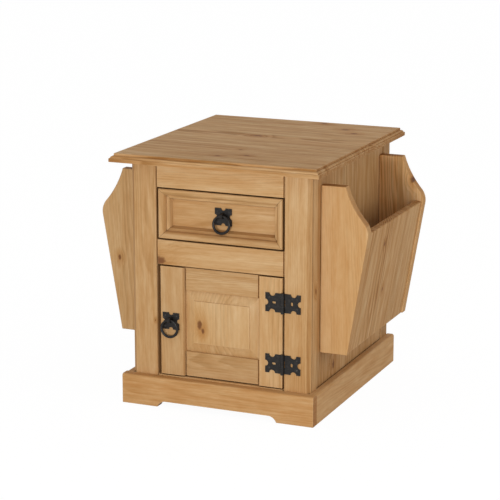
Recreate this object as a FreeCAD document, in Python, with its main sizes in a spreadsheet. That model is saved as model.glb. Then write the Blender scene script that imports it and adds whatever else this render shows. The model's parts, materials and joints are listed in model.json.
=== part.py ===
"""Pine magazine table: a moulded top on a cabinet with a drawer, a door, a plinth and a rack on each side.

Frame in millimetres: X to the right, Y to the back, Z up; the origin is on the floor under the top's middle.
"""
import FreeCAD, Part
import os
import re
import Sketcher

# Driving sizes: name, millimetres (degrees or a share where it says so), what it measures.
SIZES = [
    # Top
    ("table_height", 550, "floor to the upper face of the top"),
    ("top_thickness", 18, "top board"),
    ("side_overhang", 31, "top beyond the posts, each side"),
    ("front_overhang", 41, "top beyond the front posts"),
    ("back_overhang", 13, "top beyond the back posts"),
    ("edge_lip", 6.6, "upright lower lip of the moulded edge"),
    ("edge_lip_round", 1.5, "rounded upper arris of that lip"),
    ("edge_ledge", 1.2, "narrow flats below and above the swell of the moulded edge"),
    ("edge_swell", 4.6, "radius of that swell"),
    ("edge_round", 1.2, "rounded upper arris of the moulded edge"),
    # Cabinet
    ("cabinet_width", 410, "over the posts"),
    ("cabinet_depth", 490, "over the posts"),
    ("post_width", 59, "post, across the front"),
    ("front_post_depth", 38, "front post, front to back"),
    ("back_post_depth", 41, "back post, front to back"),
    ("post_chamfer", 8, "outer front corner of a front post"),
    ("post_inner_round", 3, "inner front arris of a front post"),
    ("quirk_land", 1, "flat between the chamfer and the quirk, a small groove behind it"),
    ("quirk_width", 3, "quirk, front to back"),
    ("quirk_depth", 2, "quirk"),
    ("arris_round", 1.5, "eased edges of boards"),
    ("side_panel_thickness", 15, "side panel"),
    ("side_panel_recess", 3, "side panel behind the posts' outer face"),
    ("side_panel_tongue", 8, "depth of the side panel in the posts' grooves"),
    ("back_panel_thickness", 6, "back panel"),
    ("back_panel_lap", 10, "back panel over each back post"),
    ("panel_foot_level", 30, "lower edge of side and back panels"),
    ("rail_thickness", 22, "front rails, front to back"),
    ("bottom_rail_height", 22, "bottom rail"),
    ("top_rail_height", 54, "rail over the drawer"),
    ("mid_rail_height", 54, "rail between drawer and door"),
    ("tenon_length", 12, "rail tenon"),
    ("tenon_thickness", 10, "rail tenon"),
    ("tenon_shoulder", 6, "rail tenon set in from the rail's edges and face"),
    ("joint_quirk_width", 2, "groove at a rail's end, beside a post or a stile"),
    ("joint_quirk_depth", 4, "the same groove"),
    ("joint_clearance", 0.2, "play of tongues and tenons"),
    ("floor_level", 67, "upper face of the cabinet floor"),
    ("floor_thickness", 9, "cabinet floor"),
    ("cleat_width", 20, "square cleats under the floor"),
    ("drawer_opening_height", 113, "middle rail to the top rail"),
    ("dust_board_thickness", 6, "board between cupboard and drawer"),
    ("dust_board_drop", 14, "dust board's upper face below the middle rail's"),
    # Plinth
    ("plinth_height", 65, "plinth"),
    ("plinth_front_thickness", 22, "front plinth board"),
    ("plinth_side_thickness", 16, "side plinth boards"),
    ("plinth_back_reach", 6, "side plinth boards beyond the back posts"),
    ("plinth_foot_width", 83, "front plinth from its end to the cut-out"),
    ("cutout_height", 13, "cut-out over the floor"),
    ("cutout_radius", 20, "curved ends of the cut-out"),
    ("plinth_round", 5, "rounded upper arris"),
    # Racks
    ("rack_front_setback", 63, "rack in from the front posts' face"),
    ("rack_back_setback", 42, "rack in from the back posts' face"),
    ("rack_end_thickness", 21, "rack end boards"),
    ("rack_bottom_level", 138, "lower edge of the racks"),
    ("rack_top_drop", 34, "upper edge of the rack ends below the top"),
    ("rack_shoulder_drop", 86, "widest level of the rack ends below their upper edge"),
    ("rack_bottom_width", 61, "rack end at its lower edge"),
    ("rack_shoulder_width", 107, "rack end at its shoulder"),
    ("rack_top_width", 54, "rack end at its upper edge"),
    ("rack_curve_radius", 200, "hollow curve from the upper edge to the shoulder"),
    ("rack_shoulder_round", 38, "rounded shoulder"),
    ("rack_panel_thickness", 16, "slanted panel, measured level"),
    ("rack_panel_setback", 3.5, "slanted panel in from the ends' edge, measured level"),
    ("rack_panel_drop", 10, "slanted panel's upper inner edge below the shoulder"),
    ("rack_panel_round", 3, "eased upper edges of the slanted panel"),
    ("rack_floor_rise", 8, "rack floor above the lower edge"),
    ("rack_floor_thickness", 14, "rack floor"),
    ("rack_screw_length", 40, "screws from the cabinet into the rack ends"),
    ("rack_screw_radius", 2, "the same screws' shank"),
    ("rack_screw_rise", 30, "lowest of them above the rack floor"),
    # Drawer
    ("drawer_side_gap", 4.5, "drawer front to the posts"),
    ("drawer_level_gap", 3, "drawer front to the rails"),
    ("moulding_width", 25, "drawer moulding"),
    ("moulding_depth", 22, "drawer moulding, front to back"),
    ("moulding_arris", 1.5, "outer front arris of the moulding"),
    ("mitre_gap", 0.8, "open mitres of the moulding, measured level"),
    ("swell_start", 5, "where the moulding's swell begins, from its outer edge"),
    ("swell_width", 15, "where the swell ends"),
    ("swell_drop", 8, "depth where the swell ends"),
    ("swell_radius", 13, "curve of the swell"),
    ("band_drop", 11, "depth of the inner band at the swell"),
    ("band_width", 21, "where the inner band ends"),
    ("band_slope", 1.5, "fall of the inner band"),
    ("drawer_panel_thickness", 10, "board behind the mouldings"),
    ("drawer_back_room", 72, "drawer box to the back panel"),
    ("drawer_box_gap", 7, "drawer sides to the posts' inner faces"),
    ("drawer_board", 12, "drawer sides and back"),
    ("drawer_box_lift", 3, "drawer sides above the front's lower edge"),
    ("drawer_box_drop", 10, "drawer sides below the front's upper edge"),
    ("drawer_bottom_thickness", 5, "drawer bottom"),
    ("drawer_bottom_rise", 8, "drawer bottom above the sides' lower edge"),
    ("drawer_groove", 6, "depth of the drawer bottom in the sides"),
    ("running_gap", 0.3, "drawer sides to runners, guides, kickers and stops"),
    ("guide_height", 14, "guide above the runner"),
    ("runner_reach", 6, "runner beyond the inner face of the drawer side"),
    ("kicker_thickness", 18, "kickers above the drawer sides"),
    ("stop_length", 15, "drawer stops"),
    ("stop_height", 12, "drawer stops"),
    # Door
    ("door_latch_gap", 8, "door to the left post"),
    ("door_hinge_gap", 3.5, "door to the right post"),
    ("door_top_gap", 3, "door to the middle rail"),
    ("door_bottom_gap", 2.5, "door to the bottom rail"),
    ("door_thickness", 22, "stiles"),
    ("stile_width", 55, "stiles"),
    ("stile_round", 6, "inner front edges of the stiles"),
    ("door_top_rail_height", 50, "upper door rail"),
    ("door_bottom_rail_height", 54, "lower door rail"),
    ("door_rail_recess", 6, "door rails behind the stiles"),
    ("door_groove_depth", 8, "groove for the door panel"),
    ("door_tongue", 6, "thickness of the door panel's edge"),
    ("door_tongue_back", 4, "groove in from the door's back"),
    ("field_share", 0.156, "bevel round the raised field, as a share of the panel's height"),
    ("field_recess", 4, "raised field behind the stiles"),
    ("field_step", 2, "small step round the raised field"),
    # Hinges
    ("hinge_height", 41, "butterfly hinge leaf"),
    ("hinge_reach", 39.5, "leaf, from the pin to its outer edge"),
    ("hinge_leaf", 2, "leaf thickness"),
    ("hinge_notch_radius", 6.6, "round notches in the leaf"),
    ("hinge_notch_reach", 24, "upper and lower notches, from the pin"),
    ("hinge_share", 0.222, "hinge's middle from the door's end, as a share of the door's height"),
    ("knuckle_radius", 3.9, "hinge knuckle"),
    ("knuckle_out", 4.3, "pin's middle in front of the door"),
    ("knuckle_overrun", 1.5, "knuckles beyond the leaf, each end"),
    ("knuckle_play", 0.3, "between knuckles"),
    ("leaf_relief", 1.1, "leaf back from the other leaf's knuckles"),
    ("pin_radius", 1.6, "hinge pin"),
    ("pin_clearance", 0.05, "pin in its knuckles, on the radius"),
    ("slot_length", 8.3, "slot in the leaf"),
    ("slot_width", 4.6, "slot in the leaf"),
    ("slot_reach", 20, "slot's middle, from the pin"),
    ("hinge_screw_reach", 31, "leaf screws, from the pin"),
    ("hinge_screw_rise", 10, "leaf screws above and below the hinge's middle"),
    # Screws and nails
    ("screw_radius", 1.8, "leaf screw shank"),
    ("screw_length", 16, "leaf screw below its head"),
    ("screw_head_radius", 3.2, "screw head"),
    ("screw_head_height", 1.4, "screw head"),
    ("nail_radius", 1, "plate nail shank"),
    ("nail_length", 8, "plate nail below its head"),
    ("nail_head_radius", 2.2, "nail head"),
    ("nail_head_height", 1, "nail head"),
    ("nail_across", 13, "plate nails each side of the plate's middle"),
    ("nail_rise", 11.5, "plate nails above and below the plate's middle"),
    ("hole_clearance", 0.05, "screws and nails in their holes, on the radius"),
    # Ring pulls
    ("plate_width", 38.5, "pull plate"),
    ("plate_height", 37, "pull plate"),
    ("plate_thickness", 2.2, "pull plate"),
    ("plate_notch_radius", 5, "round notches in the plate's sides"),
    ("ring_radius", 18.3, "ring, at the middle of its wire"),
    ("ring_wire_radius", 3, "ring wire"),
    ("pivot_out", 10, "ring's pivot in front of the wood"),
    ("pivot_rise", 3.5, "ring's pivot above the plate's middle"),
    ("eye_width", 6, "eye that holds the ring"),
    ("eye_wall", 2.1, "eye round its hole"),
    ("eye_clearance", 0.5, "ring wire in the eye, on the radius"),
    ("drawer_ring_tilt", 6, "degrees the drawer's ring leans on the moulding"),
    ("door_pull_offset", 2.7, "door's pull to the left of its stile's middle"),
    # Door catch
    ("catch_width", 16, "catch, out from the post"),
    ("catch_depth", 18, "catch, front to back"),
    ("catch_height", 34, "catch"),
    ("catch_gap", 0.3, "catch to the strike"),
    ("catch_screw_rise", 11, "catch screws above and below its middle"),
    ("strike_thickness", 1.2, "strike plate"),
    ("strike_width", 11, "strike plate"),
    ("strike_height", 30, "strike plate"),
]

# Levels and faces worked out from the driving sizes.
DERIVED = {
    "half_width": "cabinet_width / 2",
    "top_half_width": "half_width + side_overhang",
    "top_half_depth": "(cabinet_depth + front_overhang + back_overhang) / 2",
    "top_underside": "table_height - top_thickness",
    "edge_lip_level": "top_underside + edge_lip + edge_lip_round",
    "edge_step_level": "edge_lip_level + edge_swell",
    "edge_inset": "edge_lip_round + edge_swell + 2 * edge_ledge",
    "front": "front_overhang - top_half_depth",
    "back": "front + cabinet_depth",
    "post_inner": "half_width - post_width",
    "front_post_back": "front + front_post_depth",
    "quirk_front": "front + post_chamfer + quirk_land",
    "back_post_front": "back - back_post_depth",
    "panel_face": "half_width - side_panel_recess",
    "panel_inside": "panel_face - side_panel_thickness",
    "panel_front_edge": "front_post_back - side_panel_tongue",
    "panel_back_edge": "back_post_front + side_panel_tongue",
    "back_panel_face": "back - back_panel_thickness",
    "rail_back": "front + rail_thickness",
    "bottom_rail_foot": "floor_level - bottom_rail_height",
    "floor_underside": "floor_level - floor_thickness",
    "top_rail_foot": "top_underside - top_rail_height",
    "mid_rail_top": "top_rail_foot - drawer_opening_height",
    "mid_rail_foot": "mid_rail_top - mid_rail_height",
    "dust_board_top": "mid_rail_top - dust_board_drop",
    "plinth_half_width": "half_width + plinth_side_thickness",
    "plinth_face": "front - plinth_front_thickness",
    "cutout_half": "plinth_half_width - plinth_foot_width",
    "cutout_run": "sqrt(cutout_radius ^ 2 - (cutout_radius - cutout_height) ^ 2)",
    "rack_front_face": "front + rack_front_setback",
    "rack_back_face": "back - rack_back_setback",
    "rack_inner_front": "rack_front_face + rack_end_thickness",
    "rack_inner_back": "rack_back_face - rack_end_thickness",
    "rack_top_level": "top_underside - rack_top_drop",
    "rack_shoulder_level": "rack_top_level - rack_shoulder_drop",
    "rack_panel_top": "rack_shoulder_level - rack_panel_drop",
    "rack_slope": "(rack_shoulder_width - rack_bottom_width) / (rack_shoulder_level - rack_bottom_level)",
    "rack_panel_outer": "panel_face + rack_bottom_width - rack_panel_setback",
    "rack_panel_inner": "rack_panel_outer - rack_panel_thickness",
    "rack_lip_drop": "rack_slope * rack_panel_thickness",
    "rack_floor_foot": "rack_bottom_level + rack_floor_rise",
    "rack_floor_top": "rack_floor_foot + rack_floor_thickness",
    "drawer_half": "post_inner - drawer_side_gap",
    "drawer_foot": "mid_rail_top + drawer_level_gap",
    "drawer_top": "top_rail_foot - drawer_level_gap",
    "drawer_middle": "(drawer_foot + drawer_top) / 2",
    "drawer_panel_face": "front + moulding_depth",
    "drawer_panel_back": "drawer_panel_face + drawer_panel_thickness",
    "drawer_rear": "back_panel_face - drawer_back_room",
    "drawer_box_half": "post_inner - drawer_box_gap",
    "drawer_inside_half": "drawer_box_half - drawer_board",
    "drawer_side_foot": "drawer_foot + drawer_box_lift",
    "drawer_side_top": "drawer_top - drawer_box_drop",
    "drawer_bottom_foot": "drawer_side_foot + drawer_bottom_rise",
    "drawer_bottom_top": "drawer_bottom_foot + drawer_bottom_thickness",
    "runner_top": "drawer_side_foot - running_gap",
    "runner_inner": "drawer_inside_half - runner_reach",
    "guide_face": "drawer_box_half + running_gap",
    "kicker_foot": "drawer_side_top + running_gap",
    "door_left": "door_latch_gap - post_inner",
    "door_right": "post_inner - door_hinge_gap",
    "door_foot": "floor_level + door_bottom_gap",
    "door_top": "mid_rail_foot - door_top_gap",
    "door_middle": "(door_foot + door_top) / 2",
    "door_back": "front + door_thickness",
    "door_rail_face": "front + door_rail_recess",
    "stile_left_inner": "door_left + stile_width",
    "stile_right_inner": "door_right - stile_width",
    "door_panel_foot": "door_foot + door_bottom_rail_height",
    "door_panel_top": "door_top - door_top_rail_height",
    "field_margin": "field_share * (door_panel_top - door_panel_foot)",
    "hinge_edge_distance": "hinge_share * (door_top - door_foot)",
    "tongue_back": "door_back - door_tongue_back",
    "tongue_front": "tongue_back - door_tongue",
    "tongue_reach": "door_groove_depth - joint_clearance",
    "hinge_across": "post_inner - door_hinge_gap / 2",
    "hinge_out": "front - knuckle_out",
    "leaf_start": "knuckle_radius + leaf_relief",
    "barrel_half": "hinge_height / 2 + knuckle_overrun",
    "barrel_step": "barrel_half / 3",
    "eye_bore": "ring_wire_radius + eye_clearance",
    "eye_radius": "eye_bore + eye_wall",
    "screw_hole": "screw_radius + hole_clearance",
    "nail_hole": "nail_radius + hole_clearance",
    "rack_screw_hole": "rack_screw_radius + hole_clearance",
    "door_pull_across": "door_left + stile_width / 2 - door_pull_offset",
    "catch_face": "door_back + strike_thickness + catch_gap",
    "catch_middle": "catch_face + catch_depth / 2",
}
SIZE_NAMES = {name for name, _, _ in SIZES}
# Front rails: lower and upper level
RAILS = {
    "top_rail": ("top_rail_foot", "top_underside"),
    "mid_rail": ("mid_rail_foot", "mid_rail_top"),
    "bottom_rail": ("bottom_rail_foot", "floor_level"),
}
# Screws run from inside the cabinet through the side panels into the rack ends
RACK_SCREW_ROWS = ("rack_front_face + rack_end_thickness / 2", "rack_back_face - rack_end_thickness / 2")
RACK_SCREW_LEVELS = (
    "rack_floor_top + rack_screw_rise",
    "(rack_floor_top + dust_board_top) / 2",
    "drawer_middle",
)
CATCH_SCREW_LEVELS = tuple(f"door_middle + {step} * catch_screw_rise" for step in (-1, 1))
HINGE_LEVELS = {"upper": "door_top - hinge_edge_distance", "lower": "door_foot + hinge_edge_distance"}
# Spans that several pieces share
BETWEEN_POSTS = ("front_post_back", "back_post_front")
LEAF_FACES = ("front - hinge_leaf", "front")
DOOR_GROOVE = ("tongue_front - joint_clearance", "tongue_back + joint_clearance")
# Turns that lay a round bar along an axis
TURNS = {
    "x": FreeCAD.Rotation(FreeCAD.Vector(0, 1, 0), 90),
    "y": FreeCAD.Rotation(FreeCAD.Vector(1, 0, 0), -90),
    "z": FreeCAD.Rotation(),
}
NORMAL_AXIS = {"XY_Plane": "z", "XZ_Plane": "y", "YZ_Plane": "x"}
SIDES = {"left": -1, "right": 1}
ON_PLANE = 1e-4  # how near an edge lies to a plane that it is picked by

doc = FreeCAD.newDocument("magazine_table")
sheet = doc.addObject("Spreadsheet::Sheet", "sizes")
for row, (name, size, note) in enumerate(SIZES, 1):
    sheet.set(f"A{row}", name)
    sheet.set(f"B{row}", str(size))
    sheet.setAlias(f"B{row}", name)
    sheet.set(f"C{row}", note)
doc.recompute()
nodes = []


# Formulas and small helpers


def formula(text):
    """Write a formula of plain size names as a sheet expression, with derived names spelled out."""
    def spell(match):
        word = match.group(0)
        if word in SIZE_NAMES:
            return f"sizes.{word}"
        if word in DERIVED:
            return f"({formula(DERIVED[word])})"
        return word
    return re.sub(r"[a-z][a-z_]*", spell, text)


def value(text):
    """The number that a formula has now."""
    return float(sheet.evalExpression(formula(text)))


def bind(item, **formulas):
    """Tie properties of an object to formulas."""
    for name, text in formulas.items():
        item.setExpression(name, formula(text))


def place(item, x, y, z):
    """Tie an object's place to a formula on each axis."""
    for axis, text in zip("xyz", (x, y, z)):
        item.setExpression(f"Placement.Base.{axis}", formula(text))


def on_side(side, near, far):
    """A span on the left (-1) or right (1) of the middle, low end first."""
    return (near, far) if side > 0 else (f"-({far})", f"-({near})")


def at_side(side, text):
    """A place on the left (-1) or right (1) of the middle."""
    return text if side > 0 else f"-({text})"


def mirrored(outline, side):
    """An outline drawn on the right (1), or turned over to the left (-1) and drawn the same way round."""
    if side > 0:
        return outline
    turned = []
    for index in range(len(outline) - 1, -1, -1):
        across, up = outline[index][:2]
        arc = outline[index - 1][2:]
        turned.append((at_side(side, across), up, *arc))
    return turned


def node(label, item):
    """Name a finished piece, which is written to a file of that name."""
    item.Label = label
    nodes.append(item)
    return item


# Shapes


def box(x, y, z):
    """A board between a low and a high formula on each axis."""
    item = doc.addObject("Part::Box", "board")
    for name, (low, high) in zip(("Length", "Width", "Height"), (x, y, z)):
        bind(item, **{name: f"({high}) - ({low})"})
    place(item, x[0], y[0], z[0])
    return item


def rod(axis, start, radius, length):
    """A round bar along an axis from the formulas of its start point."""
    item = doc.addObject("Part::Cylinder", "rod")
    item.Placement = FreeCAD.Placement(FreeCAD.Vector(), TURNS[axis])
    bind(item, Radius=radius, Height=length)
    place(item, *start)
    return item


def fuse(*pieces):
    """Pieces joined into one solid."""
    item = doc.addObject("Part::MultiFuse", "fuse")
    item.Shapes = list(pieces)
    item.Refine = True
    return item


def cut(base, *tools):
    """A piece with others taken out of it."""
    item = doc.addObject("Part::Cut", "cut")
    item.Base = base
    item.Tool = tools[0] if len(tools) == 1 else fuse(*tools)
    item.Refine = True
    return item


def common(base, tool):
    """What two pieces share."""
    item = doc.addObject("Part::Common", "common")
    item.Base = base
    item.Tool = tool
    item.Refine = True
    return item


def group(pieces):
    """Like pieces kept as separate solids of one node."""
    item = doc.addObject("Part::Compound", "group")
    item.Links = list(pieces)
    return item


def lies_in(edge, planes):
    """True where an edge lies in each of the planes, such as {"y": "front"}."""
    bounds = edge.BoundBox
    spans = {
        "x": (bounds.XMin, bounds.XMax),
        "y": (bounds.YMin, bounds.YMax),
        "z": (bounds.ZMin, bounds.ZMax),
    }
    return all(abs(end - value(text)) < ON_PLANE for axis, text in planes.items() for end in spans[axis])


def eased(base, radius, *chosen):
    """A piece with edges rounded: each entry of chosen names the planes that an edge has to lie in."""
    doc.recompute()
    size = value(radius)
    picked = [
        number for number, edge in enumerate(base.Shape.Edges, 1)
        if any(lies_in(edge, planes) for planes in chosen)
    ]
    item = doc.addObject("Part::Fillet", "eased")
    item.Base = base
    item.Edges = [(number, size, size) for number in picked]
    return item


def arc_middle(start, end, turn, radius):
    """Middle point of an arc under a half circle that turns left (1) or right (-1)."""
    chord = end - start
    left = FreeCAD.Vector(-chord.y, chord.x, 0).normalize()
    rise = radius - (radius ** 2 - chord.Length ** 2 / 4) ** 0.5
    return (start + end) * 0.5 - left * (turn * rise)


def outlined(plane, points, start, length):
    """A body padded from one closed outline on an origin plane, from start over length along its normal.

    Each point is (across, up) in formulas; a third entry (turn, radius) makes an arc to the next point.
    """
    body = doc.addObject("PartDesign::Body", "body")
    base = next(item for item in body.Origin.OriginFeatures if item.Role == plane)
    sketch = body.newObject("Sketcher::SketchObject", "outline")
    sketch.AttachmentSupport = [(base, "")]
    sketch.MapMode = "FlatFace"
    corners = [FreeCAD.Vector(value(point[0]), value(point[1]), 0) for point in points]
    ends = []
    for index, point in enumerate(points):
        here = corners[index]
        there = corners[(index + 1) % len(points)]
        if len(point) == 2:
            sketch.addGeometry(Part.LineSegment(here, there))
        else:
            turn, radius = point[2]
            sketch.addGeometry(Part.Arc(here, arc_middle(here, there, turn, value(radius)), there))
            number = sketch.addConstraint(Sketcher.Constraint("Radius", index, value(radius)))
            sketch.setExpression(f"Constraints[{number}]", formula(radius))
        first_is_start = (sketch.getPoint(index, 1) - here).Length < (sketch.getPoint(index, 2) - here).Length
        ends.append((1, 2) if first_is_start else (2, 1))
    for index, point in enumerate(points):
        following = (index + 1) % len(points)
        meeting = (index, ends[index][1], following, ends[following][0])
        sketch.addConstraint(Sketcher.Constraint("Coincident", *meeting))
        for kind, text, size in zip(("DistanceX", "DistanceY"), point, corners[index]):
            number = sketch.addConstraint(Sketcher.Constraint(kind, -1, 1, index, ends[index][0], size))
            sketch.setExpression(f"Constraints[{number}]", formula(text))
    pad = body.newObject("PartDesign::Pad", "pad")
    pad.Profile = sketch
    pad.Reversed = plane == "XZ_Plane"
    bind(pad, Length=length)
    body.setExpression(f"Placement.Base.{NORMAL_AXIS[plane]}", formula(start))
    return body


# Top


def moulded_section(half):
    """Outline of the top across its width or depth: lip, swell and upright step on both edges."""
    rising = [
        (half, "top_underside"),
        (half, "top_underside + edge_lip", (1, "edge_lip_round")),
        (f"{half} - edge_lip_round", "edge_lip_level"),
        (f"{half} - edge_lip_round - edge_ledge", "edge_lip_level", (1, "edge_swell")),
        (f"{half} - edge_inset + edge_ledge", "edge_step_level"),
        (f"{half} - edge_inset", "edge_step_level"),
        (f"{half} - edge_inset", "table_height - edge_round", (1, "edge_round")),
        (f"{half} - edge_inset - edge_round", "table_height"),
    ]
    return rising + mirrored(rising, -1)


def table_top():
    """The moulded section carried both ways, so that the corners are mitred."""
    across = outlined("XZ_Plane", moulded_section("top_half_width"), "-top_half_depth", "2 * top_half_depth")
    along = outlined("YZ_Plane", moulded_section("top_half_depth"), "-top_half_width", "2 * top_half_width")
    node("table_top", common(across, along))


# Cabinet frame


def rail_span(foot, top):
    """A front rail between the posts, without its tenons."""
    return box(("-post_inner", "post_inner"), ("front", "rail_back"), (foot, top))


def tenon_block(foot, top, play):
    """The bar through a rail that makes its two tenons or, with play, the mortises for them."""
    reach = f"post_inner + tenon_length + {play}"
    return box((f"-({reach})", reach),
               (f"front + tenon_shoulder - {play}", f"front + tenon_shoulder + tenon_thickness + {play}"),
               (f"{foot} + tenon_shoulder - {play}", f"{top} - tenon_shoulder + {play}"))


def rails():
    """Three front rails tenoned into the front posts, their front arrises eased, with a quirk beside each post."""
    quirk_edge = "post_inner - joint_quirk_width"
    for label, (foot, top) in RAILS.items():
        quirks = [box(on_side(side, quirk_edge, "post_inner"), ("front", "front + joint_quirk_depth"), (foot, top))
                  for side in SIDES.values()]
        rail = cut(fuse(rail_span(foot, top), tenon_block(foot, top, "0")), *quirks)
        edges = [{"y": "front", "z": foot}]
        edges += [{"y": "front", "x": at_side(side, quirk_edge)} for side in SIDES.values()]
        if label != "top_rail":
            edges.append({"y": "front", "z": top})
        node(label, eased(rail, "arris_round", *edges))


def leaf_screw_points(side):
    """Places of the screws in the leaves on the post (1) or on the door (-1)."""
    across = f"hinge_across + {side} * hinge_screw_reach"
    return [(across, f"{level} + {rise} * hinge_screw_rise")
            for level in HINGE_LEVELS.values() for rise in (-1, 1)]


def leaf_screw_holes(side):
    """Holes in the wood for those screws."""
    return [rod("y", (across, "front", up), "screw_hole", "screw_length + hole_clearance")
            for across, up in leaf_screw_points(side)]


def front_post(name, side):
    """A front post: chamfered outer corner with a quirk, groove for the side panel, mortises for the rails."""
    outline = [
        ("post_inner", "front"),
        ("half_width - post_chamfer", "front"),
        ("half_width", "front + post_chamfer"),
        ("half_width", "quirk_front"),
        ("half_width - quirk_depth", "quirk_front"),
        ("half_width - quirk_depth", "quirk_front + quirk_width"),
        ("half_width", "quirk_front + quirk_width"),
        ("half_width", "front_post_back"),
        ("panel_face + joint_clearance", "front_post_back"),
        ("panel_face + joint_clearance", "panel_front_edge - joint_clearance"),
        ("panel_inside - joint_clearance", "panel_front_edge - joint_clearance"),
        ("panel_inside - joint_clearance", "front_post_back"),
        ("post_inner", "front_post_back"),
    ]
    post = outlined("XY_Plane", mirrored(outline, side), "0", "top_underside")
    post = eased(post, "post_inner_round", {"x": at_side(side, "post_inner"), "y": "front"})
    post = eased(post, "arris_round", {"x": at_side(side, "half_width"), "y": "front_post_back"})
    holes = [tenon_block(foot, top, "joint_clearance") for foot, top in RAILS.values()]
    if side > 0:
        holes += leaf_screw_holes(side)
    else:
        holes += [rod("x", ("-post_inner - screw_length", "catch_middle", up), "screw_hole", "screw_length")
                  for up in CATCH_SCREW_LEVELS]
    node(f"post_front_{name}", cut(post, *holes))


def back_post(name, side):
    """A back post: groove for the side panel and a rebate for the back panel."""
    outline = [
        ("post_inner", "back_post_front"),
        ("panel_inside - joint_clearance", "back_post_front"),
        ("panel_inside - joint_clearance", "panel_back_edge + joint_clearance"),
        ("panel_face + joint_clearance", "panel_back_edge + joint_clearance"),
        ("panel_face + joint_clearance", "back_post_front"),
        ("half_width", "back_post_front"),
        ("half_width", "back"),
        ("post_inner + back_panel_lap", "back"),
        ("post_inner + back_panel_lap", "back_panel_face"),
        ("post_inner", "back_panel_face"),
    ]
    post = outlined("XY_Plane", mirrored(outline, side), "0", "top_underside")
    node(f"post_back_{name}", eased(post, "arris_round", {"x": at_side(side, "half_width"), "y": "back"},
                                    {"x": at_side(side, "half_width"), "y": "back_post_front"}))


def rack_screw_hole(side, row, up):
    """Hole through the side panel and into the rack end for one screw."""
    low, _ = on_side(side, "panel_inside", "panel_inside + rack_screw_length + hole_clearance")
    return rod("x", (low, row, up), "rack_screw_hole", "rack_screw_length + hole_clearance")


def side_panel(name, side):
    """A side panel standing in the posts' grooves, drilled for the rack's screws."""
    panel = box(on_side(side, "panel_inside", "panel_face"), ("panel_front_edge", "panel_back_edge"),
                ("panel_foot_level", "top_underside"))
    holes = [rack_screw_hole(side, row, up) for row in RACK_SCREW_ROWS for up in RACK_SCREW_LEVELS]
    node(f"side_panel_{name}", cut(panel, *holes))


def notched_board(low, high):
    """A level board that fills the cabinet between the panels and reaches forward between the front posts."""
    between_posts = box(("-post_inner", "post_inner"), ("rail_back", "back_panel_face"), (low, high))
    between_panels = box(("-panel_inside", "panel_inside"), BETWEEN_POSTS, (low, high))
    return fuse(between_posts, between_panels)


def carcass_boards():
    """Back, floor with its cleats, and the dust board between cupboard and drawer."""
    node("back_panel", box(("-(post_inner + back_panel_lap)", "post_inner + back_panel_lap"),
                           ("back_panel_face", "back"), ("panel_foot_level", "top_underside")))
    node("cabinet_floor", notched_board("floor_underside", "floor_level"))
    node("dust_board", notched_board("dust_board_top - dust_board_thickness", "dust_board_top"))
    node("floor_cleats", group(
        box(on_side(side, "panel_inside - cleat_width", "panel_inside"), BETWEEN_POSTS,
            ("floor_underside - cleat_width", "floor_underside")) for side in SIDES.values()))


# Plinth


def plinth():
    """Front board with a cut-out between two feet; side boards stand behind its ends."""
    outline = [
        ("-plinth_half_width", "0"),
        ("-cutout_half", "0", (-1, "cutout_radius")),
        ("cutout_run - cutout_half", "cutout_height"),
        ("cutout_half - cutout_run", "cutout_height", (-1, "cutout_radius")),
        ("cutout_half", "0"),
        ("plinth_half_width", "0"),
        ("plinth_half_width", "plinth_height"),
        ("-plinth_half_width", "plinth_height"),
    ]
    board = outlined("XZ_Plane", outline, "plinth_face", "plinth_front_thickness")
    board = eased(board, "plinth_round", {"y": "plinth_face", "z": "plinth_height"})
    node("plinth_front", eased(board, "arris_round", *(
        {"x": at_side(side, "plinth_half_width"), "y": "front"} for side in SIDES.values())))
    for name, side in SIDES.items():
        board = box(on_side(side, "half_width", "plinth_half_width"), ("front", "back + plinth_back_reach"),
                    ("0", "plinth_height"))
        board = eased(board, "plinth_round", {"x": at_side(side, "plinth_half_width"), "z": "plinth_height"})
        node(f"plinth_{name}", eased(board, "arris_round",
                                     {"x": at_side(side, "plinth_half_width"), "y": "front"}))


# Racks


def rack_end(label, side, face, screw_row):
    """A rack end board: straight taper below the rounded shoulder, hollow curve above it."""
    outline = [
        ("panel_face", "rack_bottom_level"),
        ("panel_face + rack_bottom_width", "rack_bottom_level"),
        ("panel_face + rack_shoulder_width", "rack_shoulder_level", (-1, "rack_curve_radius")),
        ("panel_face + rack_top_width", "rack_top_level"),
        ("panel_face", "rack_top_level"),
    ]
    board = outlined("XZ_Plane", mirrored(outline, side), face, "rack_end_thickness")
    board = eased(board, "rack_shoulder_round",
                  {"x": at_side(side, "panel_face + rack_shoulder_width"), "z": "rack_shoulder_level"})
    board = eased(board, "arris_round", {"y": face}, {"y": f"{face} + rack_end_thickness"})
    node(label, cut(board, *(rack_screw_hole(side, screw_row, up) for up in RACK_SCREW_LEVELS)))


def rack_line(offset, level):
    """Place on a line that slants with the rack's outer edge."""
    return f"{offset} + rack_slope * ({level} - rack_bottom_level)"


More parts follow.
